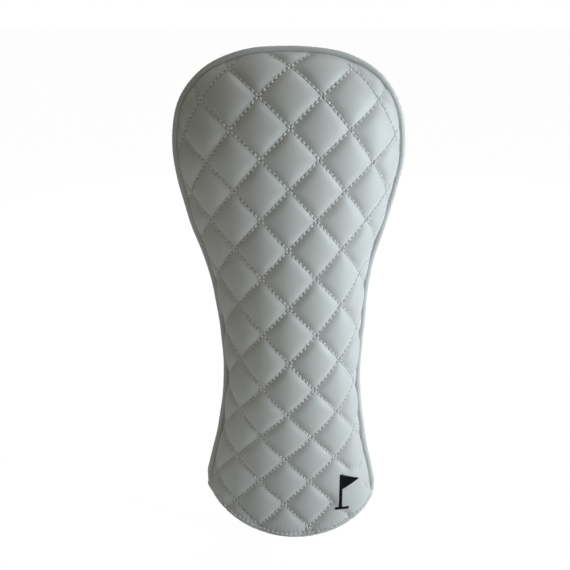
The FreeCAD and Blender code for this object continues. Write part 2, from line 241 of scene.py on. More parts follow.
@dataclass
class CoverForm:
    """Outer form of the leather, as nested ellipses under a rounded crown."""

    top: float
    lowest: float
    crown_drop: float = 3.2
    crown_rise: float = 64.8
    crown_power: float = 2.5
    head_half_width: float = 76.8
    head_half_depth: float = 38.0
    hem_radius: float = 86.0
    hem_drop: float = 0.5
    hem_shift: float = 5.0
    corner_reach: float = 58.0
    corner_lift: float = 0.045
    waist_level: float = 240.0
    lean: float = 2.8
    stations: tuple = (
        Station(110.0, 69.0, 37.0, 0.0),
        Station(155.0, 55.5, 34.0, -3.5),
        Station(200.0, 49.8, 30.0, -8.5),
        Station(240.0, 48.0, 28.0, -11.0),
        Station(282.0, 53.0, 26.5, -6.0),
        Station(325.0, 62.4, 24.5, -1.0),
        Station(374.0, 71.0, 23.0, 0.0),
    )

    @property
    def widest(self) -> float:
        """Height of the widest section."""
        return self.top - self.crown_drop - self.crown_rise

    def section(self, z: Array, inset: float = 0.0) -> tuple:
        """Half width, half depth and centre of the section at each height.

        Args:
            z: heights in the cover's frame.
            inset: depth under the leather's face.
        Returns:
            Half width, half depth and centre, one of each for every height.
        """
        under = np.maximum(self.widest - z, 0.0)
        levels = np.array([0.0] + [s.level - self.crown_drop - self.crown_rise for s in self.stations])
        columns = []
        starts = (self.head_half_width, self.head_half_depth, 0.0)
        for start, name in zip(starts, ("half_width", "half_depth", "centre")):
            values = np.array([start] + [getattr(s, name) for s in self.stations])
            columns.append(smooth_line(levels, values, under))
        up = np.clip((z - self.widest) / (self.crown_rise - inset), 0.0, 0.99999)
        across = (columns[0] - inset) * (1 - up ** self.crown_power) ** (1 / self.crown_power)
        through = (columns[1] - inset) * np.sqrt(1 - up ** 2)
        return across, through, columns[2]

    def hem_height(self, x: Array) -> Array:
        """Height of the hem at a distance to the side, with its corners eased up.

        The cover hangs a little to one side and its soft hem drops past its cut line.

        Args:
            x: distances to the side.
        Returns:
            The hem's height at each distance.
        """
        beside = np.minimum(np.abs(x - self.hem_shift), self.hem_radius - 1)
        arc = self.hem_radius - np.sqrt(self.hem_radius ** 2 - beside ** 2)
        corner = np.maximum(np.abs(x) - self.corner_reach, 0.0)
        return self.lowest - self.hem_drop + arc + self.corner_lift * corner ** 2

    def leaned(self, points: Array) -> Array:
        """The points moved as the soft neck leans to one side.

        Args:
            points: places in the cover's frame.
        Returns:
            The moved places.
        """
        level = self.top - points[..., 2]
        shift = self.lean * (rise(120.0, 205.0, level) - 0.5 * rise(225.0, 330.0, level))
        moved = points.copy()
        moved[..., 0] += shift
        return moved


@dataclass
class Wall:
    """One wall of the cover as a surface: height and distance round from its middle line."""

    form: CoverForm
    side: Side
    inset: float = 0.0
    seam_gap: float = 0.9
    rows: int = 420
    columns: int = 201
    grid: Array = field(init=False)
    normals: Array = field(init=False)
    reach: Array = field(init=False)
    heights: Array = field(init=False)
    down: Array = field(init=False)

    def __post_init__(self) -> None:
        """Tabulates the surface at an even spacing round each section."""
        top = self.form.top - self.form.crown_drop - self.inset
        bottom = self.form.lowest - 14.0
        share = np.linspace(0.0, 1.0, self.rows)
        self.heights = bottom + (top - bottom) * (1 - (1 - share) ** 1.6)
        across, through, centre = self.form.section(self.heights, self.inset)
        facing = self.side.value
        turned = (self.seam_gap - facing * centre) / np.maximum(through, 1e-6)
        seam = np.arccos(np.clip(turned, -0.999, 0.999))
        around = np.linspace(-1.0, 1.0, self.columns)[None, :] * seam[:, None]
        x = across[:, None] * np.sin(around)
        y = centre[:, None] + facing * through[:, None] * np.cos(around)
        steps = np.hypot(np.diff(x, axis=1), np.diff(y, axis=1))
        run = np.concatenate([np.zeros((self.rows, 1)), np.cumsum(steps, axis=1)], axis=1)
        run -= run[:, [self.columns // 2]]
        self.reach = run[:, -1]
        even = np.linspace(-1.0, 1.0, self.columns)
        self.grid = np.empty((self.rows, self.columns, 3))
        for row in range(self.rows):
            spots = even * self.reach[row]
            self.grid[row, :, 0] = np.interp(spots, run[row], x[row])
            self.grid[row, :, 1] = np.interp(spots, run[row], y[row])
        self.grid[:, :, 2] = self.heights[:, None]
        along = np.gradient(self.grid, axis=1)
        upward = np.gradient(self.grid, axis=0)
        normal = unit(np.cross(along, upward))
        self.normals = normal * np.sign(normal[..., [1]].mean() * facing)
        spine = self.grid[::-1, self.columns // 2]
        lengths = np.concatenate([[0.0], np.cumsum(np.linalg.norm(np.diff(spine, axis=0), axis=1))])
        self.down = lengths[::-1]

    def height_at(self, down: Array) -> Array:
        """Height of the middle line at a length down it from the crown seam."""
        return np.interp(-down, -self.down, self.heights)

    def reach_at(self, z: Array) -> Array:
        """Distance round from the middle line to the seam at a height."""
        return np.interp(z, self.heights, self.reach)

    def _blend(self, table: Array, across: Array, z: Array) -> Array:
        """Reads a table between its rows and columns.

        Args:
            table: values at each row and column of the wall.
            across: distance round the wall from its middle line.
            z: heights in the cover's frame.
        Returns:
            The table's value at each place.
        """
        row = np.clip(np.interp(z, self.heights, np.arange(self.rows)), 0, self.rows - 1.001)
        column = np.clip((across + 1) / 2 * (self.columns - 1), 0, self.columns - 1.001)
        r0, c0 = row.astype(int), column.astype(int)
        wr, wc = (row - r0)[..., None], (column - c0)[..., None]
        top = table[r0, c0] * (1 - wc) + table[r0, c0 + 1] * wc
        bottom = table[r0 + 1, c0] * (1 - wc) + table[r0 + 1, c0 + 1] * wc
        return top * (1 - wr) + bottom * wr

    def place(self, round_from_middle: Array, z: Array, depth: Array = 0.0) -> Array:
        """Points of the wall.

        Args:
            round_from_middle: distance round the section from the middle line.
            z: height.
            depth: how far the point lies into the wall.
        Returns:
            One point for each pair.
        """
        share = round_from_middle / np.maximum(self.reach_at(z), 1e-3)
        point = self._blend(self.grid, share, z)
        normal = unit(self._blend(self.normals, share, z))
        return self.form.leaned(point - normal * np.asarray(depth)[..., None])

    def normal(self, round_from_middle: Array, z: Array) -> Array:
        """Outward normals of the wall."""
        share = round_from_middle / np.maximum(self.reach_at(z), 1e-3)
        return unit(self._blend(self.normals, share, z))

    def seam_edge(self) -> Array:
        """Distance round and height of points along the side seam, both sides, above the hem.

        Returns:
            One row of distance and height for each point.
        """
        heights = np.linspace(self.form.lowest - 6, self.heights[-1], 1500)
        edge = []
        for way in (-1.0, 1.0):
            points = self._blend(self.grid, np.full(len(heights), way), heights)
            kept = points[:, 2] > self.form.hem_height(points[:, 0])
            edge.append(np.stack([way * self.reach_at(heights), heights], axis=1)[kept])
        return np.concatenate(edge)

    def hem_edge(self, lift: float = 0.0, count: int = 700) -> Array:
        """Distance round and height of points along the hem, or along a line above it.

        Args:
            lift: how far above the hem the line runs.
            count: number of points.
        Returns:
            One row of distance and height for each point.
        """
        share = np.linspace(-1, 1, count)
        z = np.full(count, self.form.lowest)
        for _ in range(40):
            hem = self._blend(self.grid, share, z)
            z = 0.5 * (z + self.form.hem_height(hem[:, 0]) + lift)
        return np.stack([share * self.reach_at(z), z], axis=1)


@dataclass
class Quilting:
    """The diamonds stitched through a wall; p and q count lines down to the right and left."""

    wall: Wall
    diamond_height: float = 41.0
    diamond_width: float = 38.1
    first_corner: float = 19.5
    crown_ease: float = 2.8
    offset: float = 1.1
    drift: float = -5.7
    bow: float = 0.0013
    fan: float = 0.155
    per_side: int = 8

    @property
    def side_length(self) -> float:
        """Length of one side of a diamond."""
        return math.hypot(self.diamond_width, self.diamond_height) / 2

    def place(self, p: Array, q: Array) -> tuple:
        """Distance round the wall and height of a place in the pattern.

        Args:
            p: count of lines that rise to the right.
            q: count of lines that fall to the right.
        Returns:
            Distance round the wall, and height.
        """
        across = (p - q) * self.diamond_width / 2
        down = (p + q) * self.diamond_height / 2 + self.first_corner
        down = down + self.crown_ease * rise(10.0, 60.0, down)
        bowed = self.bow * (1 - rise(60.0, 220.0, down))
        length = down + bowed * across ** 2
        across = across * (1 + self.fan * (1 - rise(0.0, 110.0, down)))
        z = self.wall.height_at(length) - np.minimum(length, 0.0)
        return across + self.offset + self.drift * rise(40.0, 360.0, down), z


# ------------------------------------------------------------------ shader building
class Shader:
    """A material or node group under construction, with short words for its nodes."""

    def __init__(self, tree: bpy.types.NodeTree) -> None:
        """Starts in an empty node tree."""
        self.tree = tree
        tree.nodes.clear()

    def node(self, kind: str, **settings: Any) -> bpy.types.Node:
        """Adds a node of a kind with its settings.

        Args:
            kind: the node type.
            settings: its settings, by name.
        Returns:
            The new node.
        """
        made = self.tree.nodes.new(kind)
        for name, value in settings.items():
            setattr(made, name, value)
        return made

    def feed(self, socket: Socket, value: Value) -> None:
        """Links an output to a socket, or sets the socket's own value."""
        if isinstance(value, Socket):
            self.tree.links.new(value, socket)
        else:
            socket.default_value = value

    def math(self, action: str, first: Value, second: Value = 0.0, clamp: bool = False) -> Socket:
        """One arithmetic step.

        Args:
            action: the operation.
            first: the first value or colour.
            second: the second value or colour.
            clamp: whether to keep the result from 0 to 1.
        Returns:
            The result.
        """
        made = self.node("ShaderNodeMath", operation=action, use_clamp=clamp)
        self.feed(made.inputs[0], first)
        self.feed(made.inputs[1], second)
        return made.outputs[0]

    def span(self, value: Value, low: float, high: float, start: float = 0.0, end: float = 1.0) -> Socket:
        """Carries a value smoothly from one range to another.

        Args:
            value: the value to carry over.
            low: start of its range.
            high: end of its range.
            start: result at the start.
            end: result at the end.
        Returns:
            The carried value.
        """
        made = self.node("ShaderNodeMapRange", interpolation_type="SMOOTHSTEP")
        for number, item in enumerate((value, low, high, start, end)):
            self.feed(made.inputs[number], item)
        return made.outputs[0]

    def blend(self, share: Value, first: Value, second: Value) -> Socket:
        """Mixes two colours.

        Args:
            share: how much of the second colour.
            first: the first value or colour.
            second: the second value or colour.
        Returns:
            The mixed colour.
        """
        made = self.node("ShaderNodeMix", data_type="RGBA")
        self.feed(made.inputs[0], share)
        self.feed(made.inputs[6], first)
        self.feed(made.inputs[7], second)
        return made.outputs[2]

    def noise(self, place: Socket, scale: float, detail: float = 2.0) -> Socket:
        """Cloudy noise, in features per metre.

        Args:
            place: the coordinates to read.
            scale: features per metre.
            detail: octaves of detail.
        Returns:
            The noise, from 0 to 1.
        """
        made = self.node("ShaderNodeTexNoise")
        self.feed(made.inputs["Vector"], place)
        made.inputs["Scale"].default_value = scale
        made.inputs["Detail"].default_value = detail
        return made.outputs[0]

    def cells(self, place: Socket, scale: float, feature: str = "F1") -> Socket:
        """Distance to scattered points, in points per metre.

        Args:
            place: the coordinates to read.
            scale: features per metre.
            feature: which distance to give.
        Returns:
            The distance.
        """
        made = self.node("ShaderNodeTexVoronoi", feature=feature)
        self.feed(made.inputs["Vector"], place)
        made.inputs["Scale"].default_value = scale
        return made.outputs[0]

    def bump(self, height: Socket, depth: float, strength: float = 1.0) -> Socket:
        """Normals from a height, whose full swing is a depth in metres.

        Args:
            height: the height, from 0 to 1.
            depth: its full swing in metres.
            strength: how strongly it tilts the normals.
        Returns:
            The tilted normal.
        """
        made = self.node("ShaderNodeBump")
        made.inputs["Strength"].default_value = strength
        made.inputs["Distance"].default_value = depth
        self.feed(made.inputs["Height"], height)
        return made.outputs[0]

    def group(self, tree: bpy.types.NodeTree, **values: Value) -> bpy.types.Node:
        """Places a shared group with its own values; a lower line in a name stands for a space.

        Args:
            tree: the shared group.
            values: its inputs, by name.
        Returns:
            The placed group.
        """
        made = self.node("ShaderNodeGroup", node_tree=tree)
        for name, value in values.items():
            self.feed(made.inputs[name.replace("_", " ")], value)
        return made


def effect(name: str, inputs: tuple, outputs: tuple) -> tuple:
    """Starts a shared shader group.

    Args:
        name: the group's name.
        inputs: name, socket type and value of each input.
        outputs: name and socket type of each output.
    Returns:
        The group's shader builder, its input node and its output node.
    """
    tree = bpy.data.node_groups.new(name, "ShaderNodeTree")
    for title, kind, value in inputs:
        socket = tree.interface.new_socket(title, in_out="INPUT", socket_type=kind)
        socket.default_value = value
    for title, kind in outputs:
        tree.interface.new_socket(title, in_out="OUTPUT", socket_type=kind)
    shader = Shader(tree)
    return shader, shader.node("NodeGroupInput"), shader.node("NodeGroupOutput")


FLOAT, COLOUR, VECTOR = "NodeSocketFloat", "NodeSocketColor", "NodeSocketVector"


class Effects:
    """The shader groups that several finishes share."""

    def __init__(self) -> None:
        """Builds each group once."""
        self.grain = self._grain()
        self.handling = self._handling()
        self.twist = self._twist()
        self.weave = self._weave()

    def _grain(self) -> bpy.types.NodeTree:
        """Fine pebbled grain of coated leather with slight creases, as a height from 0 to 1.

        Returns:
            The node group.
        """
        shader, given, out = effect(
            "leather_grain",
            (("Place", VECTOR, (0, 0, 0)), ("Pebbles per metre", FLOAT, 1500.0), ("Creases", FLOAT, 0.3)),
            (("Height", FLOAT),),
        )
        place = given.outputs["Place"]
        pebbles = shader.node("ShaderNodeTexVoronoi", feature="F1")
        shader.feed(pebbles.inputs["Vector"], place)
        shader.feed(pebbles.inputs["Scale"], given.outputs["Pebbles per metre"])
        rounded = shader.span(pebbles.outputs[0], 0.0, 0.7, 1.0, 0.0)
        folds = shader.noise(place, 160.0, 3.0)
        creased = shader.math("MULTIPLY", folds, given.outputs["Creases"])
        shader.feed(out.inputs["Height"], shader.math("ADD", shader.math("MULTIPLY", rounded, 0.7), creased))
        return shader.tree

    def _handling(self) -> bpy.types.NodeTree:
        """Broad uneven patches left by handling, as a mask from 0 to 1.

        Returns:
            The node group.
        """
        shader, given, out = effect(
            "handling_marks",
            (("Place", VECTOR, (0, 0, 0)), ("Patches per metre", FLOAT, 22.0)),
            (("Mask", FLOAT),),
        )
        patches = shader.node("ShaderNodeTexNoise")
        shader.feed(patches.inputs["Vector"], given.outputs["Place"])
        shader.feed(patches.inputs["Scale"], given.outputs["Patches per metre"])
        patches.inputs["Detail"].default_value = 4.0
        shader.feed(out.inputs["Mask"], shader.span(patches.outputs[0], 0.36, 0.68))
        return shader.tree

    def _twist(self) -> bpy.types.NodeTree:
        """Slanting plies of a twisted thread, from a UV that runs along and round it.

        Returns:
            The node group.
        """
        shader, given, out = effect(
            "thread_twist",
            (("Along and round", VECTOR, (0, 0, 0)), ("Turns", FLOAT, 2.5), ("Plies", FLOAT, 3.0)),
            (("Ply", FLOAT),),
        )
        split = shader.node("ShaderNodeSeparateXYZ")
        shader.feed(split.inputs[0], given.outputs["Along and round"])
        along = shader.math("MULTIPLY", split.outputs[0], given.outputs["Turns"])
        slant = shader.math("ADD", along, shader.math("MULTIPLY", split.outputs[1], given.outputs["Plies"]))
        wave = shader.math("SINE", shader.math("MULTIPLY", slant, 2 * math.pi))
        shader.feed(out.inputs["Ply"], shader.span(wave, -1.0, 0.7))
        return shader.tree

    def _weave(self) -> bpy.types.NodeTree:
        """Plain over-and-under weave of a cloth from its UV in metres, as a height and a gap mask.

        Returns:
            The node group.
        """
        shader, given, out = effect(
            "plain_weave",
            (("Cloth place", VECTOR, (0, 0, 0)), ("Yarns per metre", FLOAT, 2000.0)),
            (("Height", FLOAT), ("Gap", FLOAT)),
        )
        split = shader.node("ShaderNodeSeparateXYZ")
        shader.feed(split.inputs[0], given.outputs["Cloth place"])
        waves = []
        for number in range(2):
            turned = shader.math("MULTIPLY", split.outputs[number], given.outputs["Yarns per metre"])
            waves.append(shader.math("SINE", shader.math("MULTIPLY", turned, 2 * math.pi)))
        over = shader.math("MULTIPLY", waves[0], waves[1])
        yarns = shader.math("MAXIMUM", shader.math("ABSOLUTE", waves[0]), shader.math("ABSOLUTE", waves[1]))
        shader.feed(out.inputs["Height"], shader.span(shader.math("ADD", over, yarns), -0.6, 1.8))
        shader.feed(out.inputs["Gap"], shader.span(yarns, 0.0, 0.5, 1.0, 0.0))
        return shader.tree


def new_finish(name: str) -> tuple:
    """Starts a material.

    Args:
        name: the material's name.
    Returns:
        Its shader builder, its Principled shader and its texture coordinates.
    """
    material = bpy.data.materials.new(name)
    material.use_nodes = True
    shader = Shader(material.node_tree)
    skin = shader.node("ShaderNodeBsdfPrincipled")
    out = shader.node("ShaderNodeOutputMaterial")
    shader.tree.links.new(skin.outputs[0], out.inputs[0])
    return material, shader, skin, shader.node("ShaderNodeTexCoord")


# ------------------------------------------------------------------ finishes
@dataclass(frozen=True)
class QuiltedLeather:
    """White coated leather that is quilted: its UV counts the stitch lines, to paint shade along them and
    dark painted shade at each needle hole.
    """

    name: str = "quilted_leather"
    colour: tuple = (0.635, 0.645, 0.645, 1.0)
    # Colour of the painted shade in the valleys along the stitch lines.
    painted_valley_shade: tuple = (0.42, 0.425, 0.42, 1.0)
    # Colour of the painted shade inside each needle hole.
    hole: tuple = (0.15, 0.15, 0.145, 1.0)
    roughness: float = 0.48
    per_side: int = 8

    def dress(self, effects: Effects) -> bpy.types.Material:
        """Builds the material.

        Args:
            effects: the shared node groups.
        Returns:
            The material.
        """
        material, shader, skin, place = new_finish(self.name)
        split = shader.node("ShaderNodeSeparateXYZ")
        shader.feed(split.inputs[0], place.outputs["UV"])
        near_line, near_hole = [], []
        for number in range(2):
            count = split.outputs[number]
            near_line.append(shader.math("PINGPONG", count, 0.5))
            steps = shader.math("MULTIPLY", count, float(self.per_side))
            near_hole.append(shader.math("DIVIDE", shader.math("PINGPONG", steps, 0.5), float(self.per_side)))
        # Painted shade: the leather is darkened along the stitch lines, where the quilted valleys lie in
        # shade.
        valley = shader.span(shader.math("MINIMUM", near_line[0], near_line[1]), 0.0, 0.075, 1.0, 0.0)
        # Painted shade: a dark spot at each needle hole along the two sets of stitch lines.
        hole_shade_masks = []
        for number in range(2):
            far = shader.math("SQRT", shader.math(
                "ADD",
                shader.math("POWER", near_line[number], 2.0),
                shader.math("POWER", near_hole[1 - number], 2.0),
            ))
            hole_shade_masks.append(shader.span(far, 0.006, 0.017, 1.0, 0.0))
        quilted = shader.node("ShaderNodeAttribute", attribute_name="stitched").outputs["Fac"]
        valley = shader.math("MULTIPLY", valley, quilted)
        painted_hole_shade = shader.math("MULTIPLY", shader.math("MAXIMUM", hole_shade_masks[0], hole_shade_masks[1]), quilted)
        hem_hole_shade = shader.node("ShaderNodeAttribute", attribute_name="painted_hole_shade").outputs["Fac"]
        painted_hole_shade = shader.math("MAXIMUM", painted_hole_shade, hem_hole_shade)
        grain = shader.group(
            effects.grain, Place=place.outputs["Object"], Pebbles_per_metre=1700.0, Creases=0.35,
        )
        marks = shader.group(effects.handling, Place=place.outputs["Object"], Patches_per_metre=26.0)
        worn = shader.blend(
            shader.math("MULTIPLY", marks.outputs["Mask"], 0.22),
            self.colour,
            tuple(0.93 * c for c in self.colour[:3]) + (1.0,),
        )
        # Painted shade in the valleys, mixed over the leather's own colour and its handling marks.
        shaded = shader.blend(shader.math("MULTIPLY", valley, 0.22), worn, self.painted_valley_shade)
        # Painted shade at the needle holes, laid over everything else.
        shader.feed(skin.inputs["Base Color"], shader.blend(painted_hole_shade, shaded, self.hole))
        dull = shader.span(marks.outputs["Mask"], 0.0, 1.0, self.roughness, self.roughness + 0.07)
        shader.feed(skin.inputs["Roughness"], dull)
        shader.feed(skin.inputs["Normal"], shader.bump(grain.outputs["Height"], 0.00006, 0.5))
        skin.inputs["Specular IOR Level"].default_value = 0.5
        skin.inputs["Coat Weight"].default_value = 0.06
        skin.inputs["Coat Roughness"].default_value = 0.28
        return material


@dataclass(frozen=True)
class PlainLeather:
    """The same leather unquilted, as on the piping and the turned-up hem."""

    name: str = "plain_leather"
    colour: tuple = (0.62, 0.63, 0.63, 1.0)
    roughness: float = 0.42

    def dress(self, effects: Effects) -> bpy.types.Material:
        """Builds the material.

        Args:
            effects: the shared node groups.
        Returns:
            The material.
        """
        material, shader, skin, place = new_finish(self.name)
        grain = shader.group(
            effects.grain, Place=place.outputs["Object"], Pebbles_per_metre=1700.0, Creases=0.6,
        )
        marks = shader.group(effects.handling, Place=place.outputs["Object"], Patches_per_metre=60.0)
        shader.feed(skin.inputs["Base Color"], shader.blend(
            shader.math("MULTIPLY", marks.outputs["Mask"], 0.25),
            self.colour,
            tuple(0.9 * c for c in self.colour[:3]) + (1.0,),
        ))
        dull = shader.span(marks.outputs["Mask"], 0.0, 1.0, self.roughness, self.roughness + 0.08)
        shader.feed(skin.inputs["Roughness"], dull)
        shader.feed(skin.inputs["Normal"], shader.bump(grain.outputs["Height"], 0.00008, 0.6))
        skin.inputs["Coat Weight"].default_value = 0.06
        skin.inputs["Coat Roughness"].default_value = 0.28
        return material


@dataclass(frozen=True)
class TwistedThread:
    """Twisted thread or cord; its UV runs along and round each length, and its dark colour is painted shade
    between the plies.
    """

    name: str
    colour: tuple
    # Colour of the painted shade in the grooves between the plies.
    dark: tuple
    turns: float = 2.5
    plies: float = 3.0
    roughness: float = 0.55
    sheen: float = 0.2
    gloss: float = 0.5

    def dress(self, effects: Effects) -> bpy.types.Material:
        """Builds the material.

        Args:
            effects: the shared node groups.
        Returns:
            The material.
        """
        material, shader, skin, place = new_finish(self.name)
        skin.inputs["Specular IOR Level"].default_value = self.gloss
        ply = shader.group(
            effects.twist, Along_and_round=place.outputs["UV"], Turns=self.turns, Plies=self.plies,
        )
        fluff = shader.noise(place.outputs["Object"], 900.0, 2.0)
        mixed = shader.math("MULTIPLY", ply.outputs["Ply"], shader.span(fluff, 0.2, 0.8, 0.75, 1.0))
        # Painted shade: the ply mask darkens the thread in the grooves between its plies.
        shader.feed(skin.inputs["Base Color"], shader.blend(mixed, self.dark, self.colour))
        dull = shader.span(fluff, 0.2, 0.8, self.roughness, self.roughness + 0.12)
        shader.feed(skin.inputs["Roughness"], dull)
        shader.feed(skin.inputs["Normal"], shader.bump(mixed, 0.0001, 0.6))
        skin.inputs["Sheen Weight"].default_value = self.sheen
        skin.inputs["Sheen Roughness"].default_value = 0.4
        return material


@dataclass(frozen=True)
class WovenTape:
    """Woven cloth or elastic; its UV is laid out in metres along the weave, and its dark colour serves both
    its handling marks and painted shade in the gaps between the yarns.
    """

    name: str
    colour: tuple
    # Colour of the handling marks and of the painted shade in the weave's gaps.
    dark: tuple
    yarns: float = 1400.0
    roughness: float = 0.8

    def dress(self, effects: Effects) -> bpy.types.Material:
        """Builds the material.

        Args:
            effects: the shared node groups.
        Returns:
            The material.
        """
        material, shader, skin, place = new_finish(self.name)
        weave = shader.group(effects.weave, Cloth_place=place.outputs["UV"], Yarns_per_metre=self.yarns)
        marks = shader.group(effects.handling, Place=place.outputs["Object"], Patches_per_metre=40.0)
        yarn = shader.blend(shader.math("MULTIPLY", marks.outputs["Mask"], 0.2), self.colour, self.dark)
        # Painted shade: the gaps between the yarns are darkened towards the dark colour.
        shader.feed(skin.inputs["Base Color"], shader.blend(weave.outputs["Gap"], yarn, self.dark))
        dull = shader.span(weave.outputs["Height"], 0.0, 1.0, self.roughness + 0.1, self.roughness)
        shader.feed(skin.inputs["Roughness"], dull)
        shader.feed(skin.inputs["Normal"], shader.bump(weave.outputs["Height"], 0.00015, 0.7))
        skin.inputs["Sheen Weight"].default_value = 0.15
        skin.inputs["Sheen Roughness"].default_value = 0.5
        return material


@dataclass(frozen=True)
class PlushPile:
    """Short dense pile with brushed patches, whose raised tufts carry a painted highlight."""

    name: str = "plush_pile"
    colour: tuple = (0.035, 0.036, 0.04, 1.0)
    # Colour of the painted highlight on the raised tufts.
    tip: tuple = (0.12, 0.122, 0.13, 1.0)

    def dress(self, effects: Effects) -> bpy.types.Material:
        """Builds the material.

        Args:
            effects: the shared node groups.
        Returns:
            The material.
        """
        material, shader, skin, place = new_finish(self.name)
        tufts = shader.cells(place.outputs["Object"], 1100.0)
        brushed = shader.noise(place.outputs["Object"], 45.0, 3.0)
        raised = shader.span(tufts, 0.0, 0.7, 1.0, 0.0)
        # Painted highlight: raised tufts, most in the brushed patches, are lightened towards the tip colour.
        lit = shader.math("MULTIPLY", raised, shader.span(brushed, 0.3, 0.7, 0.35, 1.0))
        shader.feed(skin.inputs["Base Color"], shader.blend(lit, self.colour, self.tip))
        shader.feed(skin.inputs["Roughness"], shader.span(brushed, 0.3, 0.7, 0.85, 1.0))
        shader.feed(skin.inputs["Normal"], shader.bump(shader.math("ADD", raised, brushed), 0.0006, 0.8))
        skin.inputs["Sheen Weight"].default_value = 0.5
        skin.inputs["Sheen Roughness"].default_value = 0.35
        return material


@dataclass
class Finishes:
    """Every material of the cover, made once."""

    effects: Effects

    def __post_init__(self) -> None:
        """Builds the materials."""
        self.quilted = QuiltedLeather().dress(self.effects)
        self.plain = PlainLeather().dress(self.effects)
        white = ((0.97, 0.97, 0.96, 1.0), (0.80, 0.80, 0.79, 1.0))
        self.thread = TwistedThread("sewing_thread", *white, turns=3.0, plies=2.0).dress(self.effects)
        self.cord = TwistedThread(
            "piping_core", (0.78, 0.74, 0.66, 1.0), (0.5, 0.46, 0.4, 1.0),
            turns=0.0, plies=12.0, roughness=0.85,
        ).dress(self.effects)
        self.embroidery = TwistedThread(
            "black_embroidery", (0.006, 0.006, 0.007, 1.0), (0.002, 0.002, 0.002, 1.0),
            turns=4.0, plies=2.0, roughness=0.62, sheen=0.0, gloss=0.15,
        ).dress(self.effects)
        self.elastic = WovenTape(
            "woven_elastic", (0.78, 0.78, 0.76, 1.0), (0.4, 0.4, 0.4, 1.0), yarns=900.0,
        ).dress(self.effects)
        self.casing = WovenTape(
            "casing_cloth", (0.72, 0.72, 0.70, 1.0), (0.36, 0.36, 0.35, 1.0),
        ).dress(self.effects)
        self.plush = PlushPile().dress(self.effects)


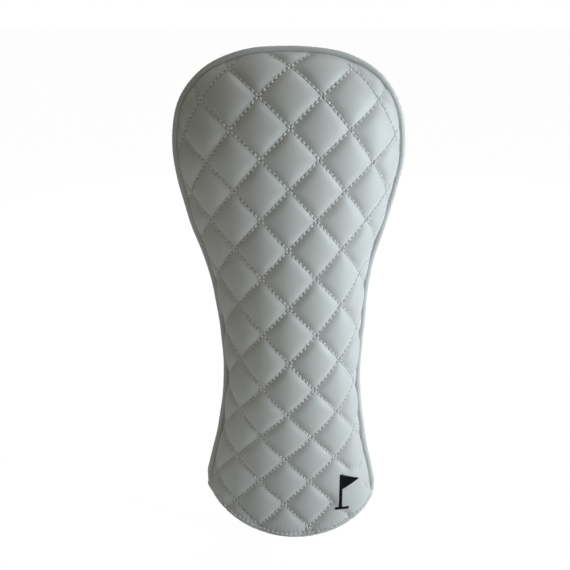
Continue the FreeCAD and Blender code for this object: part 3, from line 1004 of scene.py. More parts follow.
# ------------------------------------------------------------------ quilted walls
@dataclass
class QuiltedPanel:
    """One padded wall: leather blown up by its wadding between the lines of stitches."""

    wall: Wall
    quilting: Quilting
    valley: float = 2.25
    crest: float = 0.6
    seam_depth: float = 0.3
    corner_out: float = 1.9
    patch_place: tuple = (46.5, 38.0)
    patch_size: tuple = (13.5, 20.0)
    inner_depth: float = 5.7
    hem_depth: float = 1.0
    hem_stitches: float = 3.2
    waist_rows: float = 14.25
    slack: float = 0.03
    pressure: float = 4.0
    most_swell: float = 1.3
    refine: int = 2

    def __post_init__(self) -> None:
        """Lays the lattice out on the wall."""
        self.side = self.wall.side
        self.form = self.wall.form
        n = self.quilting.per_side
        low, high = -5 * n, 16 * n
        ticks = np.arange(low, high + 1)
        p_tick, q_tick = np.meshgrid(ticks, ticks, indexing="ij")
        cells_p, cells_q = (p_tick[:-1, :-1] + 0.5) / n, (q_tick[:-1, :-1] + 0.5) / n
        across, z = self.quilting.place(cells_p, cells_q)
        x = self.wall.place(across, z, np.zeros_like(z))[..., 0]
        inside = (np.abs(across) < self.wall.reach_at(z) - 0.6) & (z > self.form.hem_height(x) + 0.8)
        inside &= (z < self.wall.heights[-1] - 0.02) & (z > self.form.lowest - 6)
        numbers = -np.ones(p_tick.shape, int)
        rows, columns = np.nonzero(inside)
        quads = []
        for i, j in zip(rows, columns):
            quads.append(((i, j), (i + 1, j), (i + 1, j + 1), (i, j + 1)))
        used = sorted({corner for quad in quads for corner in quad})
        for number, corner in enumerate(used):
            numbers[corner] = number
        self.faces = [tuple(int(numbers[corner]) for corner in quad) for quad in quads]
        self.tick = np.array([(p_tick[c], q_tick[c]) for c in used])
        self.p, self.q = self.tick[:, 0] / n, self.tick[:, 1] / n
        self.rim = self._rim_loop()
        self._fit_to_rim()

    def _rim_loop(self) -> Array:
        """Numbers of the lattice points on the edge, in order.

        Returns:
            The point numbers, once round.
        """
        after = {}
        known = {}
        for face in self.faces:
            for here, there in zip(face, face[1:] + face[:1]):
                known[(here, there)] = True
        for here, there in known:
            if (there, here) not in known:
                after[here] = there
        start = next(iter(after))
        loop, here = [start], after[start]
        while here != start and len(loop) <= len(after):
            loop.append(here)
            here = after[here]
        return np.array(loop)

    def _fit_to_rim(self) -> None:
        """Moves the outermost lattice points onto the seam and the hem."""
        self.across, self.z = self.quilting.place(self.p, self.q)
        seam, hem = self.wall.seam_edge(), self.wall.hem_edge()
        edges = np.concatenate([seam, hem])
        spots = self.wall.place(edges[:, 0], edges[:, 1], np.zeros(len(edges)))
        here = self.wall.place(self.across, self.z, np.zeros(len(self.z)))
        gaps = np.array([np.linalg.norm(spots - point, axis=1) for point in here])
        nearest = gaps.argmin(axis=1)
        self.across[self.rim] = edges[nearest[self.rim], 0]
        self.z[self.rim] = edges[nearest[self.rim], 1]
        self.to_seam = gaps[:, : len(seam)].min(axis=1)
        self.to_hem = gaps[:, len(seam):].min(axis=1)
        on_hem = nearest[self.rim] >= len(seam)
        self.to_seam[self.rim[~on_hem]] = 0.0
        self.to_hem[self.rim[on_hem]] = 0.0

    def _dome(self, away: Array, reach: float) -> Array:
        """Rounded shoulder: 0 on a line of stitches, 1 at a reach from it."""
        share = np.clip(away / reach, 0, 1)
        return np.sqrt(np.maximum(1 - (1 - share) ** 2, 0))

    def _depths(self) -> Array:
        """Depth of the leather under the form's face at each lattice point.

        Returns:
            One depth in millimetres for each lattice point.
        """
        side = self.quilting.side_length
        to_p = np.abs(self.p - np.round(self.p)) * side
        to_q = np.abs(self.q - np.round(self.q)) * side
        puff = self._dome(to_p, side / 2) * self._dome(to_q, side / 2)
        puff = puff * self._dome(self.to_hem - 1.0, 8.0)
        flat = self._in_patch(self.across, self.z)
        puff = puff * (1 - flat) + 0.93 * flat
        depth = self.valley - (self.valley + self.crest) * puff
        depth = depth - 0.45 * (depth - self.crest) * (1 - rise(3.0, 9.0, self.to_seam))
        at_seam = 1 - rise(0.3, 3.0, self.to_seam)
        corner = (1 - rise(0.5, 7.0, self.to_hem)) * (1 - rise(0.0, 9.0, self.to_seam))
        depth = depth * (1 - at_seam) + self.seam_depth * at_seam
        at_hem = 1 - rise(0.5, 4.5, self.to_hem)
        depth = depth * (1 - at_hem) + self.hem_depth * at_hem
        return depth * (1 - corner) + (self.seam_depth - self.corner_out) * corner

    def _in_patch(self, across: Array, z: Array) -> Array:
        """1 where the leather is embroidered and isn't quilted, 0 elsewhere.

        Args:
            across: distance round the wall from its middle line.
            z: heights in the cover's frame.
        Returns:
            The share of each place that lies in the patch.
        """
        if self.side is Side.BACK:
            return np.zeros_like(z)
        point = self.wall.place(across, z, np.zeros_like(z))
        away = np.hypot(
            (point[..., 0] - self.patch_place[0]) / self.patch_size[0],
            (point[..., 2] - self.form.lowest - self.patch_place[1]) / self.patch_size[1],
        )
        return 1 - rise(0.75, 1.1, away)

    def build(self, name: str) -> bpy.types.Object:
        """Makes the closed pad and swells it.

        Args:
            name: the piece's name.
        Returns:
            The finished mesh object, still without its material.
        """
        outer = self.wall.place(self.across, self.z, self._depths())
        inner = self.wall.place(self.across, self.z, np.full(len(self.z), self.inner_depth))
        count = len(outer)
        faces = list(self.faces) + [tuple(count + c for c in reversed(face)) for face in self.faces]
        loop = self.rim.tolist()
        for here, there in zip(loop, loop[1:] + loop[:1]):
            faces.append((there, here, count + here, count + there))
        if not self._faces_out(outer):
            faces = [tuple(reversed(face)) for face in faces]
        piece = new_piece(name, np.concatenate([outer, inner]), faces)
        self._write_counts(piece, np.tile(self.p, 2), np.tile(self.q, 2))
        stitched = (1 - self._in_patch(self.across, self.z)).astype(np.float32)
        share = piece.data.attributes.new("stitched", "FLOAT", "POINT")
        share.data.foreach_set("value", np.tile(stitched, 2))
        self._swell(piece, count)
        self._refine(piece)
        self._fine_shape(piece)
        return piece

    def _faces_out(self, outer: Array) -> bool:
        """Whether the lattice's own order of corners turns its faces outwards.

        Args:
            outer: the points of the leather's face.
        Returns:
            Whether they face outwards.
        """
        corners = outer[np.array(self.faces[:400])]
        turned = np.cross(corners[:, 1] - corners[:, 0], corners[:, 2] - corners[:, 0]).sum(axis=0)
        return bool(turned[1] * self.side.value > 0)

    def _write_counts(self, piece: bpy.types.Object, p: Array, q: Array) -> None:
        """Keeps the pattern's counts as the UV map.

        Args:
            piece: the mesh object.
            p: count of lines that rise to the right.
            q: count of lines that fall to the right.
        """
        mesh = piece.data
        corners = np.empty(len(mesh.loops), int)
        mesh.loops.foreach_get("vertex_index", corners)
        layer = mesh.uv_layers.new(name="stitch_count")
        layer.data.foreach_set("uv", np.stack([p[corners], q[corners]], axis=1).astype(np.float32).ravel())

    def _swell(self, piece: bpy.types.Object, count: int) -> None:
        """Blows the pad up with cloth simulation while its stitches, edge and back hold still.

        Args:
            piece: the mesh object.
            count: number of points on the leather's face.
        """
        n = self.quilting.per_side
        stitched = (self.tick[:, 0] % n == 0) | (self.tick[:, 1] % n == 0)
        stitched &= self._in_patch(self.across, self.z) < 0.5
        stitched[self.rim] = True
        stitched |= self.to_hem < self.hem_stitches + 1.0
        held = np.concatenate([np.nonzero(stitched)[0], np.arange(count, 2 * count)])
        group = piece.vertex_groups.new(name="held")
        group.add(held.tolist(), 1.0, "REPLACE")
        start = points_of(piece)
        cloth = piece.modifiers.new("swell", "CLOTH")
        settings = cloth.settings
        settings.quality = 6
        settings.mass = 0.2
        settings.tension_stiffness = 12.0
        settings.compression_stiffness = 12.0
        settings.shear_stiffness = 6.0
        settings.bending_stiffness = 0.2
        settings.shrink_min = -self.slack
        settings.use_pressure = True
        settings.uniform_pressure_force = self.pressure
        settings.vertex_group_mass = "held"
        settings.effector_weights.gravity = 0.0
        cloth.point_cache.frame_start, cloth.point_cache.frame_end = 1, 20
        scene = bpy.context.scene
        for frame in range(1, 21):
            scene.frame_set(frame)
        swollen = piece.evaluated_get(bpy.context.evaluated_depsgraph_get())
        flat = np.empty(len(start) * 3, np.float32)
        swollen.data.vertices.foreach_get("co", flat)
        moved = flat.reshape(-1, 3) / MM - start
        piece.modifiers.remove(cloth)
        scene.frame_set(1)
        length = np.linalg.norm(moved, axis=1, keepdims=True)
        usual = np.median(length[length > 0.05])
        log.info("%s swelled by %.2f mm at most, %.2f in the middle", piece.name, length.max(), usual)
        capped = moved * np.minimum(1.0, self.most_swell / np.maximum(length, 1e-6))
        set_points(piece, start + capped)
        piece.vertex_groups.clear()

    def _refine(self, piece: bpy.types.Object) -> None:
        """Rounds the pad off between its lines of stitches.

        Args:
            piece: the mesh object.
        """
        n = self.quilting.per_side
        mesh = piece.data
        ends = np.empty(len(mesh.edges) * 2, int)
        mesh.edges.foreach_get("vertices", ends)
        ends = ends.reshape(-1, 2)
        count = len(self.tick)
        outside = (ends < count).all(axis=1)
        ticks = self.tick[ends % count]
        same = ticks[:, 0, :] == ticks[:, 1, :]
        on_line = (same & (ticks[:, 0, :] % n == 0)).any(axis=1) & outside
        rims = np.zeros(count, bool)
        rims[self.rim] = True
        on_rim = rims[ends % count].all(axis=1) & outside
        patch = self._in_patch(self.across, self.z)[ends % count].max(axis=1)
        sharp = np.where(on_rim, 0.9, np.where(on_line & (patch < 0.5), 0.7, 0.0)).astype(np.float32)
        mesh.attributes.new("crease_edge", "FLOAT", "EDGE").data.foreach_set("value", sharp)
        modifier = piece.modifiers.new("round", "SUBSURF")
        modifier.levels = modifier.render_levels = self.refine
        modifier.uv_smooth = "NONE"
        pick(piece)
        bpy.ops.object.modifier_apply(modifier=modifier.name)

    def _fine_shape(self, piece: bpy.types.Object) -> None:
        """Adds needle dimples, gathers beside the stitches, the hem's groove and its scallops, and a mask of
        painted shade at each needle hole of the hem.

        Args:
            piece: the mesh object.
        """
        mesh = piece.data
        points = points_of(piece)
        normals = np.empty(len(points) * 3, np.float32)
        mesh.vertex_normals.foreach_get("vector", normals)
        normals = normals.reshape(-1, 3)
        corners = np.empty(len(mesh.loops), int)
        mesh.loops.foreach_get("vertex_index", corners)
        uv = np.empty(len(mesh.loops) * 2, np.float32)
        mesh.uv_layers[0].data.foreach_get("uv", uv)
        counts = np.zeros((len(points), 2))
        counts[corners] = uv.reshape(-1, 2)
        side, n = self.quilting.side_length, self.quilting.per_side
        to_line = np.abs(counts - np.round(counts)) * side
        to_hole = np.abs(counts * n - np.round(counts * n)) * side / n
        wave = np.cos(2 * np.pi * counts * n)
        move = np.zeros(len(points))
        for one, other in ((0, 1), (1, 0)):
            hole = np.exp(-(to_line[:, one] ** 2 + to_hole[:, other] ** 2) / 0.8)
            gather = wave[:, other] * np.exp(-to_line[:, one] / 2.6) * np.minimum(to_line[:, one] / 1.2, 1.0)
            move -= 0.35 * hole + 0.05 * gather
        stitched = np.empty(len(points), np.float32)
        mesh.attributes["stitched"].data.foreach_get("value", stitched)
        move *= stitched
        # Painted shade for the hem's needle holes: a mask that the leather's material darkens.
        painted_hole_shade = np.zeros(len(points), np.float32)
        line = self.wall.hem_edge(self.hem_stitches)
        row = self.wall.place(line[:, 0], line[:, 1], np.full(len(line), 1.5))
        run = np.concatenate([[0.0], np.cumsum(np.linalg.norm(np.diff(row, axis=0), axis=1))])
        near = np.nonzero(points[:, 2] < self.form.hem_height(points[:, 0]) + 14.0)[0]
        for start in range(0, len(near), 4000):
            batch = near[start:start + 4000]
            gaps = np.linalg.norm(points[batch, None, :] - row[None, ::2, :], axis=2)
            closest = gaps.argmin(axis=1)
            away = gaps[np.arange(len(batch)), closest]
            beat = np.cos(2 * np.pi * run[::2][closest] / 3.5)
            painted_hole_shade[batch] = rise(0.55, 0.95, beat) * np.exp(-(away / 0.75) ** 2)
            above = points[batch, 2] > row[::2][closest, 2]
            move[batch] -= 0.7 * np.exp(-(away / 0.9) ** 2) * (0.8 + 0.2 * beat)
            move[batch] -= 0.35 * beat * np.exp(-away / 2.5) * np.minimum(away / 1.0, 1.0) * above
        if self.side is Side.BACK:
            move += self._gathers(points)
        outer = self._is_outer(points, normals)
        painted_hole_shade *= outer
        mesh.attributes.new("painted_hole_shade", "FLOAT", "POINT").data.foreach_set("value", painted_hole_shade)
        set_points(piece, points + normals * (move * outer)[:, None])

    def _gathers(self, points: Array) -> Array:
        """Folds that the elastic draws into the back of the waist.

        Args:
            points: places in the cover's frame.
        Returns:
            How far each point moves out along its normal.
        """
        from_waist = points[:, 2] - (self.form.top - self.form.waist_level)
        reach = np.exp(-(from_waist / 19.0) ** 2)
        half = self.form.section(np.array([self.form.top - self.form.waist_level]))[0][0]
        around = half * np.arcsin(np.clip(points[:, 0] / half, -0.98, 0.98))
        along = around + 0.9 * np.sin(from_waist / 7.0 + around / 9.0)
        folds = np.sin(2 * np.pi * along / 7.4) + 0.5 * np.sin(2 * np.pi * along / 4.7 + 1.0)
        stitched = np.exp(-((np.abs(from_waist) - self.waist_rows) / 1.4) ** 2)
        return 0.62 * folds * reach - 0.9 * stitched

    def _is_outer(self, points: Array, normals: Array) -> Array:
        """1 on the leather's face and 0 on the back of the pad.

        Args:
            points: places in the cover's frame.
            normals: the mesh's normals.
        Returns:
            The share by which each point counts as the leather's face.
        """
        middle = np.zeros_like(points)
        level = np.interp(points[:, 2], self.wall.heights, self.form.section(self.wall.heights)[2])
        middle[:, 1] = level
        away = points - middle
        away[:, 2] = np.maximum(points[:, 2] - self.form.widest, 0) * 0.7
        return rise(-0.1, 0.3, (unit(away) * normals).sum(axis=1))

    def stitches(self) -> list:
        """Every stitch of the quilting on the form's face, and whether it runs down to the right.

        Returns:
            Start, end and that direction, one entry for each stitch.
        """
        n = self.quilting.per_side
        flat = self._in_patch(self.across, self.z)
        number = {tuple(tick): i for i, tick in enumerate(self.tick)}
        rim = set(self.rim.tolist())
        found = []
        for (i, j), here in number.items():
            for step, line in (((1, 0), j), ((0, 1), i)):
                there = number.get((i + step[0], j + step[1]))
                if line % n or there is None or here in rim or there in rim:
                    continue
                if max(flat[here], flat[there]) > 0.3:
                    continue
                if min(self.to_hem[here], self.to_hem[there]) < 4.2:
                    continue
                if min(self.to_seam[here], self.to_seam[there]) < 1.2:
                    continue
                found.append((here, there, step[0] == 1))
        at_face = self.wall.place(self.across, self.z, np.full(len(self.z), self.valley))
        return [(at_face[here], at_face[there], down_right) for here, there, down_right in found]


# ------------------------------------------------------------------ thread
@dataclass
class StitchMaker:
    """Lays short lengths of twisted thread on a finished surface."""

    surface: bpy.types.Object
    thickness: float = 0.92
    sides: int = 6
    sink: float = -0.24

    def __post_init__(self) -> None:
        """Prepares the surface for finding the nearest place on it."""
        mesh = self.surface.data
        self.tree = BVHTree.FromPolygons(
            [vertex.co.copy() for vertex in mesh.vertices], [tuple(face.vertices) for face in mesh.polygons],
        )
        half = ((0.0, 0.0), (0.05, 0.55), (0.2, 0.95))
        self.profile = half + ((0.5, 1.0), (0.8, 0.95), (0.95, 0.55), (1.0, 0.0))

    def find(self, point: Array) -> tuple:
        """Nearest point of the surface and its normal, in millimetres."""
        spot, normal, _, _ = self.tree.find_nearest(Vector(point * MM))
        return np.array(spot) / MM, np.array(normal)

    def lay(self, name: str, runs: list) -> bpy.types.Object:
        """One piece from many stitches.

        Args:
            name: the piece's name.
            runs: start, end, length share and thickness share of each stitch.
        Returns:
            The mesh object, with a UV that runs along and round each stitch.
        """
        verts, faces, marks = [], [], []
        rings = len(self.profile) - 2
        for start, end, share, fat in runs:
            middle = (start + end) / 2
            reach = (end - start) * share / 2
            a, na = self.find(middle - reach)
            b, nb = self.find(middle + reach)
            m, nm = self.find(middle)
            along = unit(b - a)
            out = unit(nm - along * float(nm @ along))
            beside = np.cross(along, out)
            radius = self.thickness * fat / 2
            base = len(verts)
            for number, (spot, swell) in enumerate(self.profile):
                arch = 4 * spot * (1 - spot)
                centre = a * (1 - spot) + b * spot + (m - (a + b) / 2) * arch
                centre = centre + out * (radius * (arch * 0.75 - 0.35) - self.sink)
                if number in (0, len(self.profile) - 1):
                    verts.append(centre)
                    marks.append((spot, 0.5))
                    continue
                for turn in range(self.sides):
                    angle = 2 * math.pi * turn / self.sides
                    verts.append(centre + (beside * math.cos(angle) + out * math.sin(angle)) * radius * swell)
                    marks.append((spot, turn / self.sides))
            last = base + 1 + rings * self.sides
            for turn in range(self.sides):
                following = (turn + 1) % self.sides
                faces.append((base, base + 1 + following, base + 1 + turn))
                for ring in range(rings - 1):
                    low, high = base + 1 + ring * self.sides, base + 1 + (ring + 1) * self.sides
                    faces.append((low + turn, low + following, high + following, high + turn))
                top = base + 1 + (rings - 1) * self.sides
                faces.append((top + turn, top + following, last))
        piece = new_piece(name, np.array(verts), faces)
        write_uv(piece, "along_and_round", np.array(marks, np.float32))
        face_outwards(piece)
        return piece


@dataclass
class Sewing:
    """Every row of stitches on one wall."""

    panel: QuiltedPanel
    leather: bpy.types.Object
    finishes: Finishes
    pitch: float = 3.5

    def build(self) -> None:
        """Lays the quilting, the hem's row and, at the back, the two rows beside the elastic."""
        label = self.panel.side.label
        maker = StitchMaker(self.leather)
        runs = []
        for start, end, down_right in self.panel.stitches():
            runs.append((start, end, 0.92 if down_right else 0.66, 0.92 if down_right else 1.08))
        piece = maker.lay(label + "_quilting_stitches", runs)
        finish_piece(piece, self.finishes.thread, (label + "_quilting_thread",))
        hem = self._row(self.panel.wall.hem_edge(self.panel.hem_stitches))
        piece = maker.lay(label + "_hem_stitches", hem)
        finish_piece(piece, self.finishes.thread, (label + "_hem_thread",))
        if self.panel.side is Side.BACK:
            waist = self.panel.form.top - self.panel.form.waist_level
            rows = []
            for level in (waist - self.panel.waist_rows, waist + self.panel.waist_rows):
                reach = float(self.panel.wall.reach_at(np.array([level]))[0]) - 1.5
                spots = np.linspace(-reach, reach, 500)
                rows += self._row(np.stack([spots, np.full(500, level)], axis=1))
            finish_piece(maker.lay("waist_stitches", rows), self.finishes.thread, ("waist_thread",))

    def _row(self, line: Array) -> list:
        """Stitches at an even pitch along a line on the wall.

        Args:
            line: distance round and height of points along the line.
        Returns:
            Start, end, length share and thickness share of each stitch.
        """
        points = self.panel.wall.place(line[:, 0], line[:, 1], np.full(len(line), 1.4))
        run = np.concatenate([[0.0], np.cumsum(np.linalg.norm(np.diff(points, axis=0), axis=1))])
        count = int(run[-1] // self.pitch)
        stops = (np.arange(count + 1) + 0.5 * (run[-1] / self.pitch - count)) * self.pitch
        spots = np.stack([np.interp(stops, run, points[:, k]) for k in range(3)], axis=1)
        return [(here, there, 0.72, 1.0) for here, there in zip(spots[1:-1], spots[2:-1])]


# ------------------------------------------------------------------ piping
@dataclass
class Piping:
    """Leather strip over a twisted cord, sewn into the side seam."""

    form: CoverForm
    finishes: Finishes
    rise_out: float = 0.95
    radius: float = 2.25
    cord_radius: float = 1.45
    steps: int = 1000
    sides: int = 20
    tuck: float = 2.2
    flange: float = 4.6
    end_gap: float = 0.6

    def path(self) -> Array:
        """Middle line of the bead: up the left, over the crown and down the right.

        Returns:
            Points along it.
        """
        turn = np.linspace(0, 1, 4001)
        crown_top = self.form.top - self.form.crown_drop
        z = self.form.lowest + (crown_top - self.form.lowest) * (1 - (1 - turn) ** 2)
        across, _, _ = self.form.section(z)
        halves = []
        for way in (-1, 1):
            kept = z > self.form.hem_height(way * across) + self.end_gap
            halves.append(np.stack([way * across, np.zeros_like(z), z], axis=1)[kept])
        line = np.concatenate([halves[0], halves[1][::-1]])
        run = np.concatenate([[0.0], np.cumsum(np.linalg.norm(np.diff(line, axis=0), axis=1))])
        even = np.linspace(0, run[-1], self.steps)
        line = np.stack([np.interp(even, run, line[:, k]) for k in range(3)], axis=1)
        for _ in range(3):
            line[1:-1] = (line[:-2] + 2 * line[1:-1] + line[2:]) / 4
        along = unit(np.gradient(line, axis=0))
        out = np.stack([-along[:, 2], np.zeros(len(line)), along[:, 0]], axis=1)
        far = np.linspace(0, run[-1], self.steps)
        ending = 1 - rise(0.0, 13.0, np.minimum(far, run[-1] - far))
        uneven = 0.10 * np.sin(far / 11.0) + 0.08 * np.sin(far / 4.7 + 1.0)
        line = line + out * (self.rise_out + uneven - self.tuck * ending)[:, None]
        line[:, 1] += 0.12 * np.sin(far / 8.3)
        return self.form.leaned(line)

    def _tube(self, name: str, line: Array, reach: Field, marks: bool = False) -> bpy.types.Object:
        """A closed tube round a line.

        Args:
            name: the piece's name.
            line: its middle line.
            reach: its radius, from the run along the line and the angle round it.
            marks: whether to add a UV that runs along and round it.
        Returns:
            The mesh object.
        """
        along = unit(np.gradient(line, axis=0))
        out = unit(np.stack([-along[:, 2], np.zeros(len(line)), along[:, 0]], axis=1))
        beside = np.cross(along, out)
        run = np.concatenate([[0.0], np.cumsum(np.linalg.norm(np.diff(line, axis=0), axis=1))])
        angle = 2 * np.pi * np.arange(self.sides) / self.sides
        radius = reach(run[:, None], angle[None, :])
        outward, sideways = np.cos(angle)[None, :, None], np.sin(angle)[None, :, None]
        ring = out[:, None, :] * outward + beside[:, None, :] * sideways
        verts = (line[:, None, :] + ring * radius[..., None]).reshape(-1, 3)
        faces = []
        for row in range(len(line) - 1):
            low, high = row * self.sides, (row + 1) * self.sides
            for turn in range(self.sides):
                following = (turn + 1) % self.sides
                faces.append((low + turn, low + following, high + following, high + turn))
        verts = np.concatenate([verts, line[:1], line[-1:]])
        first, last = len(verts) - 2, len(verts) - 1
        for turn in range(self.sides):
            following = (turn + 1) % self.sides
            top = (len(line) - 1) * self.sides
            faces.append((first, following, turn))
            faces.append((last, top + turn, top + following))
        piece = new_piece(name, verts, faces)
        if marks:
            pair = np.broadcast_arrays(run[:, None] / 10.0, angle[None, :] / (2 * np.pi))
            places = np.stack(pair, axis=-1).reshape(-1, 2)
            write_uv(piece, "along_and_round", np.concatenate([places, [[0, 0], [0, 0]]]))
        face_outwards(piece)
        return piece

    def build(self) -> None:
        """Makes the leather bead with its flange's root, and the cord inside."""
        line = self.path()

        def bead(run: Array, angle: Array) -> Array:
            """Radius of the leather: round outside, drawn in towards the seam.

            Args:
                run: distance along the bead.
                angle: turn round it, from its outer side.
            Returns:
                The radius at each place.
            """
            length = run[-1]
            ending = np.sqrt(np.clip(np.minimum(run, length - run) / 2.2, 0.0, 1.0))
            wrinkle = 0.05 * np.sin(run * 2.1 + np.sin(run * 0.37) * 2) * (1 + np.cos(angle)) / 2
            flange = self.flange * np.clip((-np.cos(angle) - 0.9) / 0.1, 0, 1)
            return (self.radius + wrinkle) * ending + flange * (ending > 0.9)

        piece = self._tube("piping_bead", line, bead)
        finish_piece(piece, self.finishes.plain, ("piping_cover",))

        def strands(run: Array, angle: Array) -> Array:
            """Radius of a cord of three strands."""
            lobes = np.abs(np.cos(1.5 * (angle - run * 0.9)))
            return (self.cord_radius - 0.28 + 0.28 * lobes) * np.ones_like(run)

        cord = self._tube("piping_core_cord", line[8:-8], strands, marks=True)
        finish_piece(cord, self.finishes.cord, ("piping_cord",))


# ------------------------------------------------------------------ lining, facing, elastic
@dataclass
class Layer:
    """A sewn-in layer of cloth that follows the inside of one wall."""

    wall: Wall
    outer_depth: float
    inner_depth: float
    columns: int = 61
    rows: int = 60

    def build(self, name: str, low: Curve, high: Curve, ripple: Field | None = None) -> bpy.types.Object:
        """Makes the layer as a closed thin shell.

        Args:
            name: the piece's name.
            low: height of its lower edge, from the share of the way across.
            high: height of its upper edge, from the share of the way across.
            ripple: extra depth of its inner face, from across and height.
        Returns:
            The mesh object, with a UV in metres along the cloth.
        """
        share = np.linspace(-1, 1, self.columns)
        step = np.linspace(0, 1, self.rows)
        bottom, top = low(share), high(share)
        z = bottom[None, :] + (top - bottom)[None, :] * step[:, None]
        across = share[None, :] * self.wall.reach_at(z)
        skins = []
        for depth in (self.outer_depth, self.inner_depth):
            deep = np.full(z.shape, depth)
            if ripple is not None and depth == self.inner_depth:
                deep = deep + ripple(across, z)
            skins.append(self.wall.place(across, z, deep).reshape(-1, 3))
        count = self.columns * self.rows
        faces = []
        for row in range(self.rows - 1):
            for column in range(self.columns - 1):
                a = row * self.columns + column
                quad = (a, a + 1, a + 1 + self.columns, a + self.columns)
                faces.append(quad)
                faces.append(tuple(count + c for c in reversed(quad)))
        edge = list(range(self.columns))
        edge += [r * self.columns + self.columns - 1 for r in range(1, self.rows)]
        edge += [(self.rows - 1) * self.columns + c for c in range(self.columns - 2, -1, -1)]
        edge += [r * self.columns for r in range(self.rows - 2, 0, -1)]
        for here, there in zip(edge, edge[1:] + edge[:1]):
            faces.append((there, here, count + here, count + there))
        piece = new_piece(name, np.concatenate(skins), faces)
        places = np.stack([across.ravel(), z.ravel()], axis=1) * MM
        write_uv(piece, "cloth_place", np.concatenate([places, places]))
        face_outwards(piece)
        return piece


@dataclass
class Inside:
    """Everything sewn inside the cover: plush lining, hem facing, elastic and its casing."""

    walls: dict
    finishes: Finishes
    lining_face: float = 5.9
    inside_face: float = 9.1
    facing_height: float = 12.0
    facing_thickness: float = 1.0
    elastic_thickness: float = 1.2
    elastic_width: float = 25.0
    casing_thickness: float = 0.5
    casing_width: float = 32.0

    def build(self) -> None:
        """Makes the layers of both walls and dresses them."""
        for side, wall in self.walls.items():
            self._lining(side, wall)
            self._facing(side, wall)
        self._elastic(self.walls[Side.BACK])

    def _level(self, height: float) -> Curve:
        """A line at one height all the way across.

        Args:
            height: its height in the cover's frame.
        Returns:
            The line's height, from the share of the way across.
        """
        def line(share: Array) -> Array:
            """The same height everywhere."""
            return np.full_like(share, height)

        return line

    def _hem(self, wall: Wall, lift: float) -> Curve:
        """Height of a line above the hem, from the share of the way across.

        Args:
            wall: the wall it follows.
            lift: how far above the hem the line runs.
        Returns:
            The line's height, from the share of the way across.
        """
        edge = wall.hem_edge(lift, 401)
        shares = np.linspace(-1, 1, 401)

        def line(share: Array) -> Array:
            """Height read off the hem's edge."""
            return np.interp(share, shares, edge[:, 1])

        return line

    def _lining(self, side: Side, wall: Wall) -> None:
        """Plush lining with soft rolls in its pile.

        Args:
            side: which wall.
            wall: the wall it follows.
        """
        def rolls(across: Array, z: Array) -> Array:
            """Unevenness of the pile."""
            return 0.35 * np.sin(across / 5.3 + np.sin(z / 9.0)) * np.sin(z / 6.1)

        top = wall.heights[-1] - 0.15
        layer = Layer(wall, self.lining_face, self.inside_face, columns=81, rows=180)
        low = self._hem(wall, self.facing_height - 0.5)
        piece = layer.build(side.label + "_plush_lining", low, self._level(top), rolls)
        finish_piece(piece, self.finishes.plush, (side.label + "_lining",))

    def _facing(self, side: Side, wall: Wall) -> None:
        """Leather turned up inside the hem.

        Args:
            side: which wall.
            wall: the wall it follows.
        """
        inner = self.lining_face + self.facing_thickness
        layer = Layer(wall, self.lining_face - 0.1, inner, columns=161, rows=14)
        top = self._hem(wall, self.facing_height + 1.5)
        piece = layer.build(side.label + "_turned_hem", self._hem(wall, 0.3), top)
        finish_piece(piece, self.finishes.plain, (side.label + "_hem_facing",))

    def _elastic(self, wall: Wall) -> None:
        """Elastic stretched across the back of the waist, with its gathered casing over it.

        Args:
            wall: the wall it follows.
        """
        waist = wall.form.top - wall.form.waist_level
        outer = self.inside_face + self.elastic_thickness
        band = Layer(wall, self.inside_face - 0.1, outer, columns=121, rows=26)
        half = self.elastic_width / 2
        piece = band.build("waist_elastic_band", self._level(waist - half), self._level(waist + half))
        finish_piece(piece, self.finishes.elastic, ("waist_elastic",))

        def gathers(across: Array, z: Array) -> Array:
            """Gathers of the casing, fading out at its sewn edges."""
            fade = np.clip((self.casing_width / 2 - np.abs(z - waist)) / 6.0, 0, 1)
            return 0.5 * fade * (1 + np.cos(2 * np.pi * across / 4.6)) / 2

        cover = Layer(wall, outer + 0.05, outer + self.casing_thickness, columns=241, rows=30)
        half = self.casing_width / 2
        low, high = self._level(waist - half), self._level(waist + half)
        piece = cover.build("elastic_casing_cloth", low, high, gathers)
        finish_piece(piece, self.finishes.casing, ("elastic_casing",))


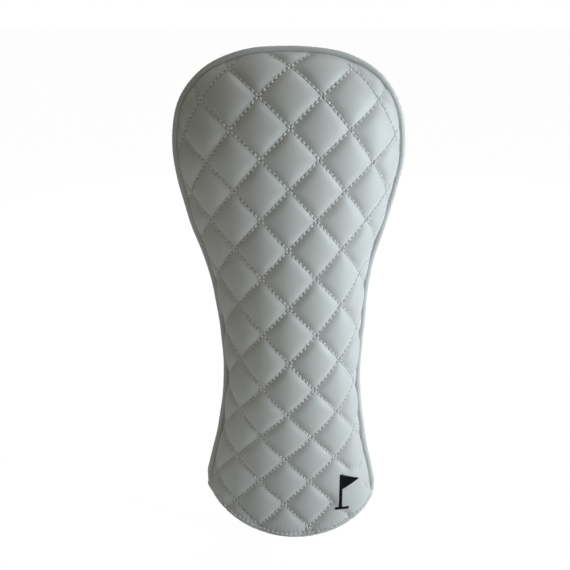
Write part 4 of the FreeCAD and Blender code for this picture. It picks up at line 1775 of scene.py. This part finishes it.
# ------------------------------------------------------------------ emblem
@dataclass
class FlagEmblem:
    """A plain golf flag in satin stitch: pole, pennant and a short ground line."""

    panel: bpy.types.Object
    finishes: Finishes
    form: CoverForm
    side_place: float = 45.0
    foot: float = 22.0
    height: float = 32.0
    width: float = 18.0
    stroke: float = 2.6
    pennant: float = 14.0
    pitch: float = 0.42

    def build(self) -> None:
        """Lays the satin stitches side by side on the leather."""
        left = self.side_place - self.width / 2
        pole = (left + self.stroke, left + 2 * self.stroke)
        base, head = self.foot, self.foot + self.height
        runs = []
        for up in np.arange(base + self.stroke, head, self.pitch):
            runs.append(((pole[0], up), (pole[1], up + 0.25)))
        tip = self.side_place + self.width / 2
        for across in np.arange(pole[1] - 0.3, tip - 0.6, self.pitch):
            share = max(0.0, (across - pole[1]) / (tip - pole[1]))
            middle = head - self.pennant / 2
            half = self.pennant / 2 * (1 - share)
            runs.append(((across, middle - half), (across + 0.2, middle + half)))
        for across in np.arange(left, pole[1] + 2 * self.stroke, self.pitch):
            runs.append(((across, base), (across + 0.2, base + self.stroke)))
        maker = StitchMaker(self.panel, thickness=0.62, sides=6, sink=-0.05)
        stitches = []
        for ends in runs:
            spots = [self._on_leather(maker.tree, across, up) for across, up in ends]
            if all(spot is not None for spot in spots):
                stitches.append((spots[0], spots[1], 1.0, 1.0))
        piece = maker.lay("golf_flag_emblem", stitches)
        finish_piece(piece, self.finishes.embroidery, ("flag_emblem",))

    def _on_leather(self, tree: BVHTree, across: float, up: float) -> Array | None:
        """The front face of the leather at a place seen from the front.

        Args:
            tree: the leather's surface.
            across: distance to the right of the middle.
            up: height above the lowest point of the cut hem.
        Returns:
            The place in millimetres, or None where there is no leather.
        """
        start = Vector((across * MM, -0.2, (self.form.lowest + up) * MM))
        spot = tree.ray_cast(start, Vector((0, 1, 0)))[0]
        return None if spot is None else np.array(spot) / MM


# ------------------------------------------------------------------ studio
@dataclass
class Studio:
    """Plain pale floor, soft lamps and the camera."""

    form: CoverForm
    camera_place: tuple = (-0.0025, -0.589, 0.0393)
    camera_drop: float = 18.24
    lens: float = 54.1

    def build(self) -> None:
        """Sets the studio up round the cover."""
        self._floor()
        self._world()
        bpy.context.scene.view_settings.view_transform = "Standard"
        self._lamp("key_lamp", (1.08, -0.34, 0.0), (0.0, 0.0, -0.28), (0.55, 0.9), 12.2, (0.85, 0.94, 1.0))
        self._lamp("fill_lamp", (-0.5, -1.1, 0.5), (0.0, 0.0, -0.15), (0.9, 0.9), 0.5, (1.0, 0.97, 0.88))
        self._lamp("top_lamp", (0.25, 0.25, 1.0), (0.0, 0.0, -0.1), (0.6, 0.6), 2.4, (0.96, 0.98, 1.0))
        self._lamp("back_lamp", (0.35, 1.25, 0.35), (0.0, 0.0, -0.15), (0.9, 0.9), 9.0, (1.0, 0.99, 0.97))
        self._camera()

    def _floor(self) -> None:
        """A wide pale floor just under the hem."""
        deselect()
        level = (self.form.lowest - self.form.hem_drop) * MM - 0.0005
        bpy.ops.mesh.primitive_plane_add(size=30.0, location=(0, 0, level))
        floor = bpy.context.active_object
        floor.name = "studio_floor"
        bpy.ops.object.transform_apply(location=True)
        material, shader, skin, _ = new_finish("pale_floor")
        skin.inputs["Base Color"].default_value = (0.86, 0.86, 0.86, 1.0)
        skin.inputs["Roughness"].default_value = 0.9
        path = shader.node("ShaderNodeLightPath")
        white = shader.node("ShaderNodeEmission")
        white.inputs["Color"].default_value = (1.0, 1.0, 1.0, 1.0)
        white.inputs["Strength"].default_value = 1.04
        seen = shader.math("MULTIPLY", path.outputs["Is Camera Ray"], 0.94)
        mix = shader.node("ShaderNodeMixShader")
        shader.feed(mix.inputs[0], seen)
        shader.feed(mix.inputs[1], skin.outputs[0])
        shader.feed(mix.inputs[2], white.outputs[0])
        clear = shader.node("ShaderNodeMixShader")
        shader.feed(clear.inputs[0], shader.node("ShaderNodeNewGeometry").outputs["Backfacing"])
        shader.feed(clear.inputs[1], mix.outputs[0])
        shader.feed(clear.inputs[2], shader.node("ShaderNodeBsdfTransparent").outputs[0])
        out = next(item for item in shader.tree.nodes if item.type == "OUTPUT_MATERIAL")
        shader.feed(out.inputs[0], clear.outputs[0])
        floor.data.materials.append(material)

    def _world(self) -> None:
        """Dim even light that looks white where the camera sees it."""
        world = bpy.data.worlds.new("studio")
        bpy.context.scene.world = world
        world.use_nodes = True
        shader = Shader(world.node_tree)
        path = shader.node("ShaderNodeLightPath")
        around = shader.node("ShaderNodeBackground")
        around.inputs["Color"].default_value = (1.0, 0.97, 0.76, 1.0)
        around.inputs["Strength"].default_value = 0.122
        white = shader.node("ShaderNodeBackground")
        white.inputs["Color"].default_value = (1.0, 1.0, 1.0, 1.0)
        mix = shader.node("ShaderNodeMixShader")
        shader.feed(mix.inputs[0], path.outputs["Is Camera Ray"])
        shader.feed(mix.inputs[1], around.outputs[0])
        shader.feed(mix.inputs[2], white.outputs[0])
        out = shader.node("ShaderNodeOutputWorld")
        shader.feed(out.inputs[0], mix.outputs[0])

    def _lamp(self, name: str, place: tuple, aim: tuple, size: tuple, power: float, colour: tuple) -> None:
        """A soft rectangular lamp turned towards a point.

        Args:
            name: its name.
            place: where it stands, in metres.
            aim: the point it is turned towards.
            size: width and height in metres.
            power: its power in watts.
            colour: its colour.
        """
        light = bpy.data.lights.new(name, "AREA")
        light.shape = "RECTANGLE"
        light.size, light.size_y = size
        light.energy = power
        light.color = colour
        lamp = bpy.data.objects.new(name, light)
        lamp.location = place
        lamp.rotation_euler = (Vector(aim) - Vector(place)).to_track_quat("-Z", "Y").to_euler()
        lamp.visible_camera = False
        bpy.context.scene.collection.objects.link(lamp)

    def _camera(self) -> None:
        """The camera, a little above the cover's middle and looking down at it."""
        data = bpy.data.cameras.new("camera")
        data.lens = self.lens
        data.sensor_width = 36.0
        camera = bpy.data.objects.new("camera", data)
        camera.location = self.camera_place
        camera.rotation_euler = (math.radians(90 - self.camera_drop), 0, 0)
        bpy.context.scene.collection.objects.link(camera)
        bpy.context.scene.camera = camera


# ------------------------------------------------------------------ the whole cover
def main() -> None:
    """Loads the frame, builds every piece of the cover in order and sets the studio up."""
    logging.basicConfig(level=logging.INFO, format="%(name)s %(message)s")
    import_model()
    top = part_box("piping_cover")[1][2] / MM
    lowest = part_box("piping_cover")[0][2] / MM
    lowest = min(lowest, min(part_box(side.label + "_leather")[0][2] / MM for side in Side))
    form = CoverForm(top, lowest)
    log.info("cover from %.2f to %.2f mm", lowest, top)
    finishes = Finishes(Effects())
    for side in Side:
        wall = Wall(form, side)
        panel = QuiltedPanel(wall, Quilting(wall))
        leather = panel.build(side.label + "_quilted_leather")
        finish_piece(
            leather,
            finishes.quilted,
            tuple(side.label + layer for layer in ("_leather", "_wadding", "_backing")),
        )
        Sewing(panel, leather, finishes).build()
        if side is Side.FRONT:
            FlagEmblem(leather, finishes, form).build()
    Piping(form, finishes).build()
    Inside({side: Wall(form, side, seam_gap=0.05) for side in Side}, finishes).build()
    Studio(form).build()


if __name__ == "__main__":
    main()
